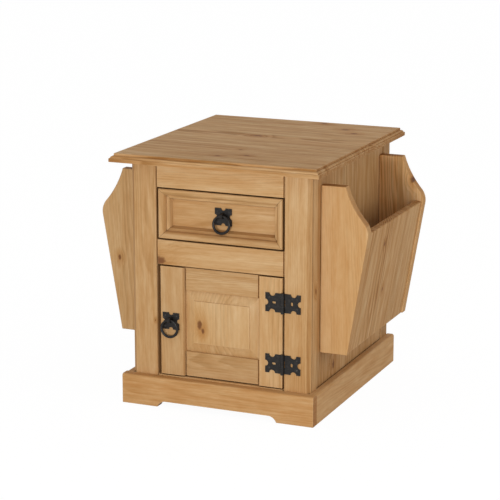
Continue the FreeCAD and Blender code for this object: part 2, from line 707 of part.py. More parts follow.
def rack(name, side):
    """One rack: two ends, the slanted panel between them and a floor."""
    rack_end(f"rack_{name}_front_end", side, "rack_front_face", RACK_SCREW_ROWS[0])
    rack_end(f"rack_{name}_rear_end", side, "rack_inner_back", RACK_SCREW_ROWS[1])
    lip = "rack_panel_top - rack_lip_drop"
    panel = [
        ("rack_panel_inner", "rack_bottom_level"),
        ("rack_panel_outer", "rack_bottom_level"),
        (rack_line("rack_panel_outer", f"({lip})"), lip),
        (rack_line("rack_panel_inner", "rack_panel_top"), "rack_panel_top"),
    ]
    length = "rack_inner_back - rack_inner_front"
    board = outlined("XZ_Plane", mirrored(panel, side), "rack_inner_front", length)
    inner_edge = at_side(side, rack_line("rack_panel_inner", "rack_panel_top"))
    node(f"rack_{name}_panel", eased(board, "rack_panel_round", {"z": lip},
                                     {"x": inner_edge, "z": "rack_panel_top"}))
    floor = [
        ("panel_face", "rack_floor_foot"),
        (rack_line("rack_panel_inner", "rack_floor_foot"), "rack_floor_foot"),
        (rack_line("rack_panel_inner", "rack_floor_top"), "rack_floor_top"),
        ("panel_face", "rack_floor_top"),
    ]
    node(f"rack_{name}_floor", outlined("XZ_Plane", mirrored(floor, side), "rack_inner_front", length))


# Fasteners


def headed(axis, point, direction, radius, length, head_radius, head_height):
    """A screw or nail: its shank runs from point along the axis, up it (1) or down it (-1)."""
    def shifted(distance):
        moved = list(point)
        moved["xyz".index(axis)] = f"{point['xyz'.index(axis)]} + {distance}"
        return moved
    if direction > 0:
        shank = rod(axis, shifted("0"), radius, length)
        head = rod(axis, shifted(f"-{head_height}"), head_radius, head_height)
    else:
        shank = rod(axis, shifted(f"-({length})"), radius, length)
        head = rod(axis, shifted("0"), head_radius, head_height)
    return fuse(shank, head)


def wood_screws():
    """Screws that hold the racks and the door catch, seen only inside the cabinet."""
    screws = [
        headed("x", (at_side(side, "panel_inside"), row, up), side, "rack_screw_radius", "rack_screw_length",
               "screw_head_radius", "screw_head_height")
        for side in SIDES.values() for row in RACK_SCREW_ROWS for up in RACK_SCREW_LEVELS
    ]
    screws += [
        headed("x", ("catch_width - post_inner", "catch_middle", up), -1, "screw_radius",
               "catch_width + screw_length - joint_clearance", "screw_head_radius", "screw_head_height")
        for up in CATCH_SCREW_LEVELS
    ]
    node("wood_screws", group(screws))


def leaf_screws(label, side):
    """Screws of the two hinge leaves on the post (1) or on the door (-1)."""
    node(label, group(
        headed("y", (across, "front - hinge_leaf", up), 1, "screw_radius", "screw_length",
               "screw_head_radius", "screw_head_height") for across, up in leaf_screw_points(side)))


# Hinges


def leaf_x(side, reach):
    """Place across the front at a reach from the hinge pin, towards the post (1) or the door (-1)."""
    return f"hinge_across + {side} * ({reach})"


def leaf_span(side, near, far):
    """The same as a span, low end first."""
    ends = (leaf_x(side, near), leaf_x(side, far))
    return ends if side > 0 else ends[::-1]


def slot(side, level, upright):
    """Round-ended slot through a leaf, standing up or lying level."""
    straight = "(slot_length - slot_width) / 2"
    radius = "slot_width / 2"
    middle = leaf_x(side, "slot_reach")
    if upright:
        bar = box((f"{middle} - {radius}", f"{middle} + {radius}"), LEAF_FACES,
                  (f"{level} - {straight}", f"{level} + {straight}"))
        ends = [(middle, f"{level} + {step} * {straight}") for step in (-1, 1)]
    else:
        bar = box((f"{middle} - {straight}", f"{middle} + {straight}"), LEAF_FACES,
                  (f"{level} - {radius}", f"{level} + {radius}"))
        ends = [(f"{middle} + {step} * {straight}", level) for step in (-1, 1)]
    return [bar] + [rod("y", (across, "front - hinge_leaf", up), radius, "hinge_leaf") for across, up in ends]


def hinge_leaf(label, side, level):
    """A butterfly leaf: the post's (1) has the outer two knuckles, the door's (-1) the middle one."""
    plate = box(leaf_span(side, "leaf_start", "hinge_reach"), LEAF_FACES,
                (f"{level} - hinge_height / 2", f"{level} + hinge_height / 2"))
    notches = [("hinge_notch_reach", "hinge_height / 2"), ("hinge_notch_reach", "-hinge_height / 2"),
               ("hinge_reach", "0")]
    holes = [rod("y", (leaf_x(side, reach), "front - hinge_leaf", f"{level} + {rise}"), "hinge_notch_radius",
                 "hinge_leaf") for reach, rise in notches]
    holes += [rod("y", (across, "front - hinge_leaf", up), "screw_hole", "hinge_leaf")
              for across, up in ((leaf_x(side, "hinge_screw_reach"), f"{level} + {step} * hinge_screw_rise")
                                 for step in (-1, 1))]
    holes += slot(side, level, upright=side > 0)
    if side > 0:
        spans = [("-barrel_half", "-barrel_step"), ("barrel_step", "barrel_half")]
    else:
        spans = [("knuckle_play - barrel_step", "barrel_step - knuckle_play")]
    pieces = [cut(plate, *holes)]
    for low, high in spans:
        web_low = f"{level} + ({low})" if side < 0 else f"{level} + max({low}; -hinge_height / 2)"
        web_high = f"{level} + ({high})" if side < 0 else f"{level} + min({high}; hinge_height / 2)"
        pieces.append(box(leaf_span(side, "0", "leaf_start"), LEAF_FACES, (web_low, web_high)))
        pieces.append(rod("z", ("hinge_across", "hinge_out", f"{level} + ({low})"), "knuckle_radius",
                          f"({high}) - ({low})"))
    bore = rod("z", ("hinge_across", "hinge_out", f"{level} - barrel_half"), "pin_radius + pin_clearance",
               "2 * barrel_half")
    node(label, cut(fuse(*pieces), bore))


def hinges():
    """Two butterfly hinges with their pins and screws."""
    for name, level in HINGE_LEVELS.items():
        hinge_leaf(f"post_hinge_leaf_{name}", 1, level)
        hinge_leaf(f"door_hinge_leaf_{name}", -1, level)
    node("hinge_pins", group(
        rod("z", ("hinge_across", "hinge_out", f"{level} - barrel_half"), "pin_radius", "2 * barrel_half")
        for level in HINGE_LEVELS.values()))
    leaf_screws("post_hinge_screws", 1)
    leaf_screws("door_hinge_screws", -1)


# Ring pulls


def nail_points(across, up):
    """Places of the four nails of a pull plate."""
    return [(f"{across} + {right} * nail_across", f"{up} + {rise} * nail_rise") for right in (-1, 1)
            for rise in (-1, 1)]


def nail_holes(across, face, up):
    """Holes in the wood for those nails."""
    return [rod("y", (right, face, rise), "nail_hole", "nail_length")
            for right, rise in nail_points(across, up)]


def ring_pull(name, across, face, up, tilt):
    """Iron plate with an eye, its nails and the ring that hangs in the eye, tilted out by some degrees."""
    plate_front = f"{face} - plate_thickness"
    plate = box((f"{across} - plate_width / 2", f"{across} + plate_width / 2"), (plate_front, face),
                (f"{up} - plate_height / 2", f"{up} + plate_height / 2"))
    notches = [("plate_width / 2", "0"), ("-plate_width / 2", "0"),
               ("0", "plate_height / 2"), ("0", "-plate_height / 2")]
    holes = [rod("y", (f"{across} + {right}", plate_front, f"{up} + {rise}"),
                 "plate_notch_radius", "plate_thickness") for right, rise in notches]
    holes += [rod("y", (right, plate_front, rise), "nail_hole", "plate_thickness")
              for right, rise in nail_points(across, up)]
    eye_low = f"{across} - eye_width / 2"
    pivot = f"{face} - pivot_out"
    pivot_level = f"{up} + pivot_rise"
    neck = box((eye_low, f"{across} + eye_width / 2"), (pivot, plate_front),
               (f"{pivot_level} - eye_radius", f"{pivot_level} + eye_radius"))
    eye = rod("x", (eye_low, pivot, pivot_level), "eye_radius", "eye_width")
    bore = rod("x", (eye_low, pivot, pivot_level), "eye_bore", "eye_width")
    node(f"{name}_pull_plate", cut(fuse(cut(plate, *holes), neck, eye), bore))
    node(f"{name}_pull_nails", group(
        headed("y", (right, plate_front, rise), 1, "nail_radius", "nail_length",
               "nail_head_radius", "nail_head_height") for right, rise in nail_points(across, up)))
    ring = doc.addObject("Part::Torus", "ring")
    ring.Placement = FreeCAD.Placement(FreeCAD.Vector(), FreeCAD.Rotation(FreeCAD.Vector(1, 0, 0), 90))
    bind(ring, Radius1="ring_radius", Radius2="ring_wire_radius")
    ring.setExpression("Placement.Rotation.Angle", formula(f"90 - {tilt}"))
    place(ring, across, f"{pivot} - ring_radius * sin({tilt} * 1 deg)",
          f"{pivot_level} - ring_radius * cos({tilt} * 1 deg)")
    node(f"{name}_ring", ring)


# Drawer


def moulding_section(edge, inward, swap):
    """Outline of the drawer moulding from its outer edge: arris, flat, swell, step, band and inner slope.

    edge is the outer edge's place, inward the sign of the way in; swap puts the depth first.
    """
    steps = [
        ("0", "moulding_depth"),
        ("0", "moulding_arris"),
        ("moulding_arris", "0"),
        ("swell_start", "0"),
        ("swell_width", "swell_drop"),
        ("swell_width", "band_drop"),
        ("band_width", "band_drop + band_slope"),
        ("moulding_width", "moulding_depth"),
    ]
    arc_from = 3
    outline = []
    for index, (width, depth) in enumerate(steps):
        across = f"{edge} + {inward} * ({width})"
        back = f"front + {depth}"
        point = (back, across) if swap else (across, back)
        left_turn = (inward > 0) != swap
        outline.append((*point, (1 if left_turn else -1, "swell_radius")) if index == arc_from else point)
    return outline


def drawer_mouldings():
    """Four lengths of moulding mitred round the drawer front."""
    through = ("front", "moulding_depth")
    for name, edge, inward in (("top", "drawer_top", -1), ("bottom", "drawer_foot", 1)):
        length = outlined("YZ_Plane", moulding_section(edge, inward, True), "-drawer_half", "2 * drawer_half")
        inner = f"{edge} + {inward} * moulding_width"
        mitre = outlined("XZ_Plane", [("mitre_gap - drawer_half", edge), ("drawer_half - mitre_gap", edge),
                                      ("drawer_half - mitre_gap - moulding_width", inner),
                                      ("mitre_gap + moulding_width - drawer_half", inner)], *through)
        node(f"drawer_moulding_{name}", common(length, mitre))
    for name, side in SIDES.items():
        edge = at_side(side, "drawer_half")
        length = outlined("XY_Plane", moulding_section(edge, -side, False), "drawer_foot",
                          "drawer_top - drawer_foot")
        inner = f"{edge} - {side} * moulding_width"
        mitre = outlined("XZ_Plane", [(edge, "drawer_foot"), (edge, "drawer_top"),
                                      (inner, "drawer_top - moulding_width"),
                                      (inner, "drawer_foot + moulding_width")], *through)
        node(f"drawer_moulding_{name}", common(length, mitre))


def drawer():
    """Drawer front with its mouldings and pull, and the box behind it."""
    panel = box(("-drawer_half", "drawer_half"), ("drawer_panel_face", "drawer_panel_back"),
                ("drawer_foot", "drawer_top"))
    node("drawer_panel", cut(panel, *nail_holes("0", "drawer_panel_face", "drawer_middle")))
    drawer_mouldings()
    depth = ("drawer_panel_back", "drawer_rear")
    bottom_half = "drawer_inside_half + drawer_groove"
    for name, side in SIDES.items():
        board = box(on_side(side, "drawer_inside_half", "drawer_box_half"), depth,
                    ("drawer_side_foot", "drawer_side_top"))
        groove = box(on_side(side, "drawer_inside_half", f"{bottom_half} + joint_clearance"), depth,
                     ("drawer_bottom_foot - joint_clearance", "drawer_bottom_top + joint_clearance"))
        node(f"drawer_side_{name}", cut(board, groove))
    node("drawer_bottom", box((f"-({bottom_half})", bottom_half), depth,
                              ("drawer_bottom_foot", "drawer_bottom_top")))
    node("drawer_back", box(("-drawer_inside_half", "drawer_inside_half"),
                            ("drawer_rear - drawer_board", "drawer_rear"),
                            ("drawer_bottom_top", "drawer_side_top")))
    ring_pull("drawer", "0", "drawer_panel_face", "drawer_middle", "drawer_ring_tilt")


def drawer_way():
    """What carries the drawer in the cabinet: runners with guides, kickers above and stops behind."""
    for name, side in SIDES.items():
        outline = [
            ("runner_inner", "dust_board_top"),
            ("panel_inside", "dust_board_top"),
            ("panel_inside", "runner_top + guide_height"),
            ("guide_face", "runner_top + guide_height"),
            ("guide_face", "runner_top"),
            ("runner_inner", "runner_top"),
        ]
        node(f"drawer_runner_{name}", outlined("XZ_Plane", mirrored(outline, side), "front_post_back",
                                               "back_post_front - front_post_back"))
    node("drawer_kickers", group(
        box(on_side(side, "runner_inner", "panel_inside"), BETWEEN_POSTS,
            ("kicker_foot", "kicker_foot + kicker_thickness")) for side in SIDES.values()))
    node("drawer_stops", group(
        box(on_side(side, "runner_inner", "drawer_box_half"),
            ("drawer_rear + running_gap", "drawer_rear + running_gap + stop_length"),
            ("runner_top", "runner_top + stop_height")) for side in SIDES.values()))


# Door


def door_stiles():
    """Two stiles with rounded inner edges, grooved for the panel and for the rails' tongues."""
    stiles = {"left": ("door_left", "stile_left_inner", 1), "right": ("door_right", "stile_right_inner", -1)}
    for name, (edge, inner, inward) in stiles.items():
        span = (edge, inner) if inward > 0 else (inner, edge)
        board = box(span, ("front", "door_back"), ("door_foot", "door_top"))
        board = eased(board, "stile_round", {"x": inner, "y": "front"})
        board = eased(board, "arris_round", {"x": edge, "y": "front"})
        groove_floor = f"{inner} - {inward} * door_groove_depth"
        groove = box((groove_floor, inner) if inward > 0 else (inner, groove_floor),
                     DOOR_GROOVE, ("door_foot", "door_top"))
        if name == "left":
            holes = nail_holes("door_pull_across", "front", "door_middle")
        else:
            holes = leaf_screw_holes(-1)
        node(f"door_stile_{name}", cut(board, groove, *holes))


def door_rails():
    """Two rails set back from the stiles, tongued into them, grooved for the panel, with a quirk at each end."""
    rails_of_door = {"top": ("door_panel_top", "door_top", 1), "bottom": ("door_foot", "door_panel_foot", -1)}
    quirk_left = "stile_left_inner + joint_quirk_width"
    quirk_right = "stile_right_inner - joint_quirk_width"
    quirk_faces = ("door_rail_face", "door_rail_face + joint_quirk_depth")
    for name, (foot, top, outward) in rails_of_door.items():
        board = box(("stile_left_inner", "stile_right_inner"), ("door_rail_face", "door_back"), (foot, top))
        tongue = box(("stile_left_inner - tongue_reach", "stile_right_inner + tongue_reach"),
                     ("tongue_front", "tongue_back"), (foot, top))
        inner = foot if outward > 0 else top
        groove_floor = f"{inner} + {outward} * door_groove_depth"
        groove = box(("stile_left_inner - door_groove_depth", "stile_right_inner + door_groove_depth"),
                     DOOR_GROOVE, (inner, groove_floor) if outward > 0 else (groove_floor, inner))
        quirks = [box(span, quirk_faces, (foot, top))
                  for span in (("stile_left_inner", quirk_left), (quirk_right, "stile_right_inner"))]
        edges = [{"y": "door_rail_face", "z": inner}]
        edges += [{"y": "door_rail_face", "x": across} for across in (quirk_left, quirk_right)]
        node(f"door_rail_{name}", eased(cut(fuse(board, tongue), groove, *quirks), "arris_round", *edges))


def door_panel():
    """Raised panel: a thin edge in the grooves, a bevel all round and a flat field with a small step."""
    edge = box(("stile_left_inner - tongue_reach", "stile_right_inner + tongue_reach"),
               ("tongue_front", "tongue_back"),
               ("door_panel_foot - tongue_reach", "door_panel_top + tongue_reach"))
    bevel = doc.addObject("Part::Wedge", "bevel")
    bind(bevel, Ymin="front + field_recess + field_step", Ymax="tongue_front",
         Xmin="stile_left_inner + field_margin", Xmax="stile_right_inner - field_margin",
         Zmin="door_panel_foot + field_margin", Zmax="door_panel_top - field_margin",
         X2min="stile_left_inner + joint_clearance", X2max="stile_right_inner - joint_clearance",
         Z2min="door_panel_foot + joint_clearance", Z2max="door_panel_top - joint_clearance")
    field = box(("stile_left_inner + field_margin", "stile_right_inner - field_margin"),
                ("front + field_recess", "front + field_recess + field_step"),
                ("door_panel_foot + field_margin", "door_panel_top - field_margin"))
    node("door_panel", fuse(edge, bevel, field))


def door_catch():
    """Catch on the post, and the strike that it holds on the back of the door."""
    block = box(("-post_inner", "catch_width - post_inner"), ("catch_face", "catch_face + catch_depth"),
                ("door_middle - catch_height / 2", "door_middle + catch_height / 2"))
    holes = [rod("x", ("-post_inner", "catch_middle", up), "screw_hole", "catch_width")
             for up in CATCH_SCREW_LEVELS]
    node("door_catch", cut(block, *holes))
    node("door_strike", box(("door_left", "door_left + strike_width"),
                            ("door_back", "door_back + strike_thickness"),
                            ("door_middle - strike_height / 2", "door_middle + strike_height / 2")))


def door():
    """Framed door with its pull, and the catch that keeps it shut."""
    door_stiles()
    door_rails()
    door_panel()
    ring_pull("door", "door_pull_across", "front", "door_middle", "0")
    door_catch()


def write_parts():
    """Check every object, then write each piece to a file named after it."""
    doc.recompute()
    failed = [item.Name for item in doc.Objects if {"Invalid", "Error"} & set(item.State)]
    if failed:
        raise RuntimeError(f"objects that failed: {failed}")
    for item in nodes:
        if item.Shape.isNull() or not item.Shape.isValid() or not item.Shape.Solids:
            raise RuntimeError(f"{item.Label} has no valid solid")
    os.makedirs("parts", exist_ok=True)
    for item in nodes:
        item.Shape.exportStep(os.path.join("parts", f"{item.Label}.step"))
    print(len(nodes), "pieces written")


table_top()
rails()
for side_name, side_sign in SIDES.items():
    front_post(side_name, side_sign)
    back_post(side_name, side_sign)
    side_panel(side_name, side_sign)
    rack(side_name, side_sign)
carcass_boards()
plinth()
wood_screws()
hinges()
drawer()
drawer_way()
door()
write_parts()
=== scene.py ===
"""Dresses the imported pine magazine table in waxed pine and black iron, and sets it on a pale studio floor."""
import json
import math
from typing import NamedTuple

import bmesh
import bpy
import numpy as np
from bpy.props import FloatProperty, FloatVectorProperty, PointerProperty
from mathutils import Euler, Matrix, Vector


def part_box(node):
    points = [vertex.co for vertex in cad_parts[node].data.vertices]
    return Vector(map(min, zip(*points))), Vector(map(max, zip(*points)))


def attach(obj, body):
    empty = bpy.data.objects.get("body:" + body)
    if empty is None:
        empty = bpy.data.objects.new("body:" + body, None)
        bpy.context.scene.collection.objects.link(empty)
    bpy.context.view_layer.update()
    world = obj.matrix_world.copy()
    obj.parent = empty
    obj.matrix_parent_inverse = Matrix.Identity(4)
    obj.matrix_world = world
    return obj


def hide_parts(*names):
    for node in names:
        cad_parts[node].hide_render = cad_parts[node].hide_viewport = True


bl_info = {
    "name": "Pine magazine table",
    "version": (1, 0, 0),
    "blender": (4, 5, 0),
    "location": "3D View > Sidebar > Table",
    "description": "Dresses a pine magazine table with racks and sets it on a studio floor",
    "category": "Object",
}

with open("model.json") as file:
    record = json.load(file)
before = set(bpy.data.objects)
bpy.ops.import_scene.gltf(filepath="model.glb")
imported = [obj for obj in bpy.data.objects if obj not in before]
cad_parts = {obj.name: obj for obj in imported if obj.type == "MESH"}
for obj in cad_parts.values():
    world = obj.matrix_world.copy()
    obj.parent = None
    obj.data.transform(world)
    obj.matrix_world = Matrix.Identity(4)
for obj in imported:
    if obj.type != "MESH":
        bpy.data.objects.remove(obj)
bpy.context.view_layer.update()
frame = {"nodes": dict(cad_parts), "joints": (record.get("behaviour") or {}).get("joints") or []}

MM = 1000  # millimetres in a metre
AXES = {"X": Vector((1, 0, 0)), "Y": Vector((0, 1, 0)), "Z": Vector((0, 0, 1))}
SMOOTH = {"interpolation_type": "SMOOTHSTEP"}
RACK_SLOPE = 0.116  # radians that the racks' panels lean outwards

# The log that boards are sawn from
LOG_STEP = 1730  # mm along the log from one board's middle to the next one's
GROUP_STEP = 20  # places in the log that each group of boards has
LEAN = (0.022, -0.014)  # radians that the log's heart leans against a board
STAVE_SHIFT = (30, 50, 900)  # mm that staves of one board lie apart in the log at most
STAVE_SEED = 7.31  # keeps boards from having the same row of staves
STAVE_DEPTH = {3: -0.06, 4: 0.1}  # how much paler or deeper a stave's colour may be

# Patterns in pine: sizes in mm across and along the fibres
SWAY_SIZE = (55, 380)
SWAY = 30  # mm that the heart wanders
YEAR_RUN = 22  # mm of growth from fat years to lean ones
YEAR_SPREAD = 3.4  # years gained and lost by that
LATE_RISE = {1: 0.2, 2: 0.82}  # shares of a year in which late wood sets in
LATE_FALL = {1: 0.86, 2: 1}  # and in which it stops
PATCH_SIZE = (60, 420)
PATCH_STRENGTH = {1: 0.35, 2: 0.65, 3: 0.12, 4: 0.6}  # from weak to strong areas of late wood
END_RINGS = 1.2  # how much stronger the rings are on end grain
STREAK_LENGTH = 520
STREAK_STRENGTH = 0.6
FIBRE_LENGTH = 80
FIBRE_STRENGTH = 0.45
BLOTCH_STRETCH = 4.5  # length of a blotch over its width
KNOT_STRETCH = 0.6  # width of a knot over its length
KNOT_OUTLINE = (5, 9)
KNOT_RAGGED = 0.9  # unevenness of a knot's outline in radii
KNOT_HEART = {1: 0.9, 2: 1.6}  # radii over which a knot ends
KNOT_HALO = {1: 0.8, 2: 5.0}  # radii over which the wood round it calms down
KNOT_PUSH = 1.6  # radii that a knot pushes the rings aside
KNOT_DEPTH = 0.28  # how much deeper the colour is round a knot

# Stain, wear, painted shade and painted highlight on pine: three ramps over a part of a face's normal, and what
# each stain and painted shade leaves of the light
PLANED = {1: 0.78, 2: 0.95}  # along any axis, from rounded to square
END_GRAIN = {1: 0.12, 2: 0.8}  # along the fibres, from side to end grain
WIDE_FACE = {1: 0.2, 2: 0.6}  # along the face axis, from narrow edge to wide face
RECESS_SHADE_RANGE = (0.001, 0.006)  # metres behind the front, from none to all of the painted shade in a recess
END_STAIN = (0.56, 0.38, 0.18, 1)
# stain on rounded edges, and painted shade on what lies behind the front
SHAPE_STAIN_AND_RECESS_SHADE = (0.8, 0.72, 0.62, 1)
# painted shade in corners and recesses, with stain collected there
CORNER_SHADE_AND_STAIN = (0.38, 0.25, 0.13, 1)
CORNER_WIDTH = 0.01  # metres from a corner over which painted shade and stain collect
ARRIS_WIDTH = 0.003  # metres from an arris that is paler from wear, with a painted highlight

# Patterns in the other materials in mm
PLY_HEART = (25, 10)
FLAME_SIZE = (40, 300)
FLAMES = 70.0  # radians of wave over the whole range of the noise
PLY_FIBRE = (2.5, 60)
IRON_GRIT = 1.1
IRON_CLOUD = 9
IRON_ARRIS = 1.2  # from an arris that is paler from wear, with a painted highlight
ZINC_CLOUD = 4
ABS_GRAIN = 0.9

# Small iron pieces
HEAD_GRID = (17, 7)  # points of a head along its slot, and from slot to rim
HEAD_FALL = 0.65  # how far a dome has fallen at its rim, as a share of its height
SLOT_FLOOR = 0.45  # height of a slot's floor as a share of the head's
LAST_ROW = 1.1  # length of a head's outermost row in slot widths
SCREW_TURNS = (0.5, 2.1, 1.2, 2.8)  # radians that the slots are turned
NAIL_TURNS = (0.0, 0.7, 1.4, 2.1)
RING_GRID = (97, 25)  # points round a ring and round its wire
MERGE = 1e-6  # metres between points that are one
CREASE = math.radians(40)  # angle between faces that stays sharp

# Floor as the camera sees it: what it gives off, and the grey that takes the shadow, add up to white
FLOOR_HALF = 30.0  # metres
FLOOR_GLOW = 0.96
FLOOR_GREY = (0.06, 0.06, 0.06, 1)


def linear(code):
    """Turn an sRGB hex colour into linear red, green and blue."""
    channels = [int(code[place:place + 2], 16) / 255 for place in (1, 3, 5)]
    return tuple(c / 12.92 if c <= 0.04045 else ((c + 0.055) / 1.055) ** 2.4 for c in channels)


class Board(NamedTuple):
    """How a pine board was sawn and how it looks."""
    grain: str  # axis that its fibres follow
    face: str  # axis that its wide face looks along
    heart: tuple = (60, 20)  # its middle from the log's heart in mm, along the face axis and across
    tone: float = 1.0  # lighter or darker than the middle tone
    warmth: float = 0.0  # share of amber in its colour, below 0 for paler wood
    figure: float = 0.7  # strength of its rings and streaks
    fade: float = 0.0  # how much paler it is at the far end of its fibres
    end: float = 0.8  # how far its end grain drank the stain
    edge: float = 0.0  # how far its narrow sawn edges did
    shape: float = 0.8  # how far its rounded edges did
    recess_shade: float = 0.0  # how much painted shade lies on what is behind its front
    corner_shade_openness: float = 0.65  # openness of its corners below which painted shade and collected stain darken them
    stave: float = 0.0  # width of the staves that it is glued from in mm, none for one piece
    seam: float = 0.0  # place of one glue line in mm
    step: float = 0.0  # how much deeper the colour is past that line
    slope: float = 0.0  # how far its fibres lean along the face axis in radians
    knots: tuple = ()  # middle (mm) and radius (mm) of each knot


BOARDS = {
    "top": {
        "table_top": Board(
            "X", "Z", (85, 30), 1.04, 0.08, 1.6, end=0.5, edge=0.2, shape=0.5, corner_shade_openness=0.85, stave=136,
            seam=68,
            knots=((-30, 44, 550, 7), (39, -177, 550, 4.5), (-16, -204, 550, 4.5), (52, 245, 550, 7),
                   (123, 189, 550, 7), (158, 150, 550, 6), (2, -122, 550, 3))),
    },
    "cabinet": {
        "top_rail": Board("X", "Y", (40, 60), 1.08, -0.12),
        "mid_rail": Board("X", "Y", (35, 30), 1.03, -0.06, knots=((-143, -231, 319, 12),)),
        "bottom_rail": Board("X", "Y", (50, 10)),
        "post_front_left": Board("Z", "Y", (55, 5), 0.97, 0.05, knots=((-150, -231, 186, 1.5),)),
        "post_front_right": Board("Z", "X", (45, -12), 1.02, fade=0.2, knots=((205, -200, 279.7, 4),)),
        "post_back_left": Board("Z", "Y", (60, 30)),
        # this post's low tone is painted shade: the post stands in shade
        "post_back_right": Board("Z", "Y", (60, -30), 0.76, 0.22),
        "side_panel_left": Board("Z", "X", (70, 15), figure=1.2, stave=92),
        "side_panel_right": Board("Z", "X", (70, 15), 0.98, 0.04, 1.3, stave=92, knots=((202, -85, 89, 7),)),
        "cabinet_floor": Board("X", "Z", (80, 20), stave=110),
        "floor_cleats": Board("Y", "Z", (40, 30)),
        "drawer_runner_left": Board("Y", "Z", (45, 25)),
        "drawer_runner_right": Board("Y", "Z", (45, -25)),
        "drawer_kickers": Board("Y", "Z", (35, 25)),
        "drawer_stops": Board("X", "Y", (35, 20)),
    },
    "plinth": {
        "plinth_front": Board("X", "Y", (42, -35), 1.03, 0.32, 0.8, end=0.55, shape=0),
        "plinth_left": Board("Y", "X", (50, 25), 1.08, 0.08, 0.5, shape=0),
        "plinth_right": Board("Y", "X", (50, 25), 1.08, 0.08, 0.5, shape=0),
    },
    "racks": {
        "rack_left_front_end": Board(
            "Z", "Y", (65, 15), 0.97, -0.22, 0.7, edge=0.3, stave=54, seam=-259, step=0.03,
            knots=((-266, -168, 300, 4),)),
        "rack_left_rear_end": Board("Z", "Y", (65, -15), edge=0.3, stave=64, seam=-240),
        "rack_left_panel": Board("Z", "X", (60, 45), figure=1.2, end=0.5, stave=85, slope=-RACK_SLOPE),
        "rack_left_floor": Board("Y", "Z", (60, 20)),
        "rack_right_front_end": Board(
            "Z", "Y", (65, 15), 1.13, -0.2, 0.3, edge=0.3, corner_shade_openness=0.35, stave=76, seam=226, step=0.08),
        "rack_right_rear_end": Board(
            "Z", "Y", (65, -15), 1.38, -0.12, 1.3, edge=0.4, stave=64, seam=246, knots=((281, 206, 447, 5),)),
        "rack_right_panel": Board(
            "Z", "X", (60, 45), 1.02, 0.05, 1.4, end=0.5, stave=85, slope=RACK_SLOPE,
            knots=((288, -31, 352, 3.5), (275, 14, 240, 3.5))),
        "rack_right_floor": Board("Y", "Z", (60, 20)),
    },
    "drawer": {
        "drawer_panel": Board("X", "Y", (90, 30), warmth=0.1, fade=0.12, corner_shade_openness=0.85),
        "drawer_moulding_top": Board("X", "Y", (50, 30), 1.05, -0.15, shape=0.5),
        "drawer_moulding_bottom": Board("X", "Y", (45, -30), 0.97, 0.04, shape=0.45, recess_shade=0.95, corner_shade_openness=0.95),
        "drawer_moulding_left": Board("Z", "Y", (50, 30), shape=0.15),
        "drawer_moulding_right": Board("Z", "Y", (55, -25), shape=0.5),
        "drawer_side_left": Board("Y", "X", (70, 20)),
        "drawer_side_right": Board("Y", "X", (70, -20)),
        "drawer_back": Board("X", "Y", (70, 20)),
    },
    "door": {
        "door_stile_left": Board("Z", "Y", (50, 40), 0.95, -0.02, 0.5, corner_shade_openness=0.0),
        "door_stile_right": Board("Z", "Y", (50, -40), 1.06, -0.1, 0.6, corner_shade_openness=0.0),
        "door_rail_top": Board("X", "Y", (55, 45), 0.95, corner_shade_openness=0.0),
        "door_rail_bottom": Board("X", "Y", (48, -30), 0.92, corner_shade_openness=0.0),
        "door_panel": Board(
            "Z", "Y", (60, 18), 1.06, -0.28, 0.45, 0.15, corner_shade_openness=0.35, stave=98, seam=-16,
            knots=((-48.5, -226, 186, 6.5), (-41, -226, 172, 4))),
    },
}
PLYWOOD_SHEETS = {"back_panel": ("Z", "Y"), "dust_board": ("X", "Z"), "drawer_bottom": ("X", "Z")}
HIDDEN_METAL = ("wood_screws", "door_strike")
IRON_SHEETS = (
    "post_hinge_leaf_upper", "post_hinge_leaf_lower", "door_hinge_leaf_upper", "door_hinge_leaf_lower",
    "hinge_pins", "drawer_pull_plate", "door_pull_plate",
)


class PineFinish(bpy.types.PropertyGroup):
    """Colours and grain of the waxed pine."""
    early_wood: FloatVectorProperty(
        name="Early wood", description="Pale spring growth", subtype="COLOR", default=linear("#C19868"))
    late_wood: FloatVectorProperty(
        name="Late wood", description="Darker summer growth", subtype="COLOR", default=linear("#9F7441"))
    amber: FloatVectorProperty(
        name="Amber", description="Tint of boards that took more stain", subtype="COLOR",
        default=linear("#B27737"))
    knot: FloatVectorProperty(
        name="Knot", description="Heart of a knot", subtype="COLOR", default=linear("#7A4F2E"))
    # pale colour of the arrises: wear and a painted highlight
    wear_and_highlight: FloatVectorProperty(
        name="Worn edge", description="Wood rubbed pale along the arrises", subtype="COLOR",
        default=linear("#D1AC7D"))
    ring_spacing: FloatProperty(
        name="Ring spacing", description="Width of one year's growth", unit="LENGTH", default=0.0048)
    fibre_width: FloatProperty(
        name="Fibre width", description="Fine streaks, drawn coarse enough to show", unit="LENGTH",
        default=0.0022)
    streak_width: FloatProperty(
        name="Streak width", description="Broad light and dark streaks", unit="LENGTH", default=0.013)
    blotch_width: FloatProperty(
        name="Blotch width", description="Patches that took the stain unevenly", unit="LENGTH", default=0.018)
    blotch: FloatProperty(
        name="Blotch", description="Strength of the blotches", subtype="FACTOR", default=0.6)
    roughness: FloatProperty(
        name="Wax roughness", description="Roughness of the waxed surface", subtype="FACTOR", default=0.62)
    sheen: FloatProperty(
        name="Wax sheen", description="Strength of the wax's mirror light", subtype="FACTOR", default=0.14)


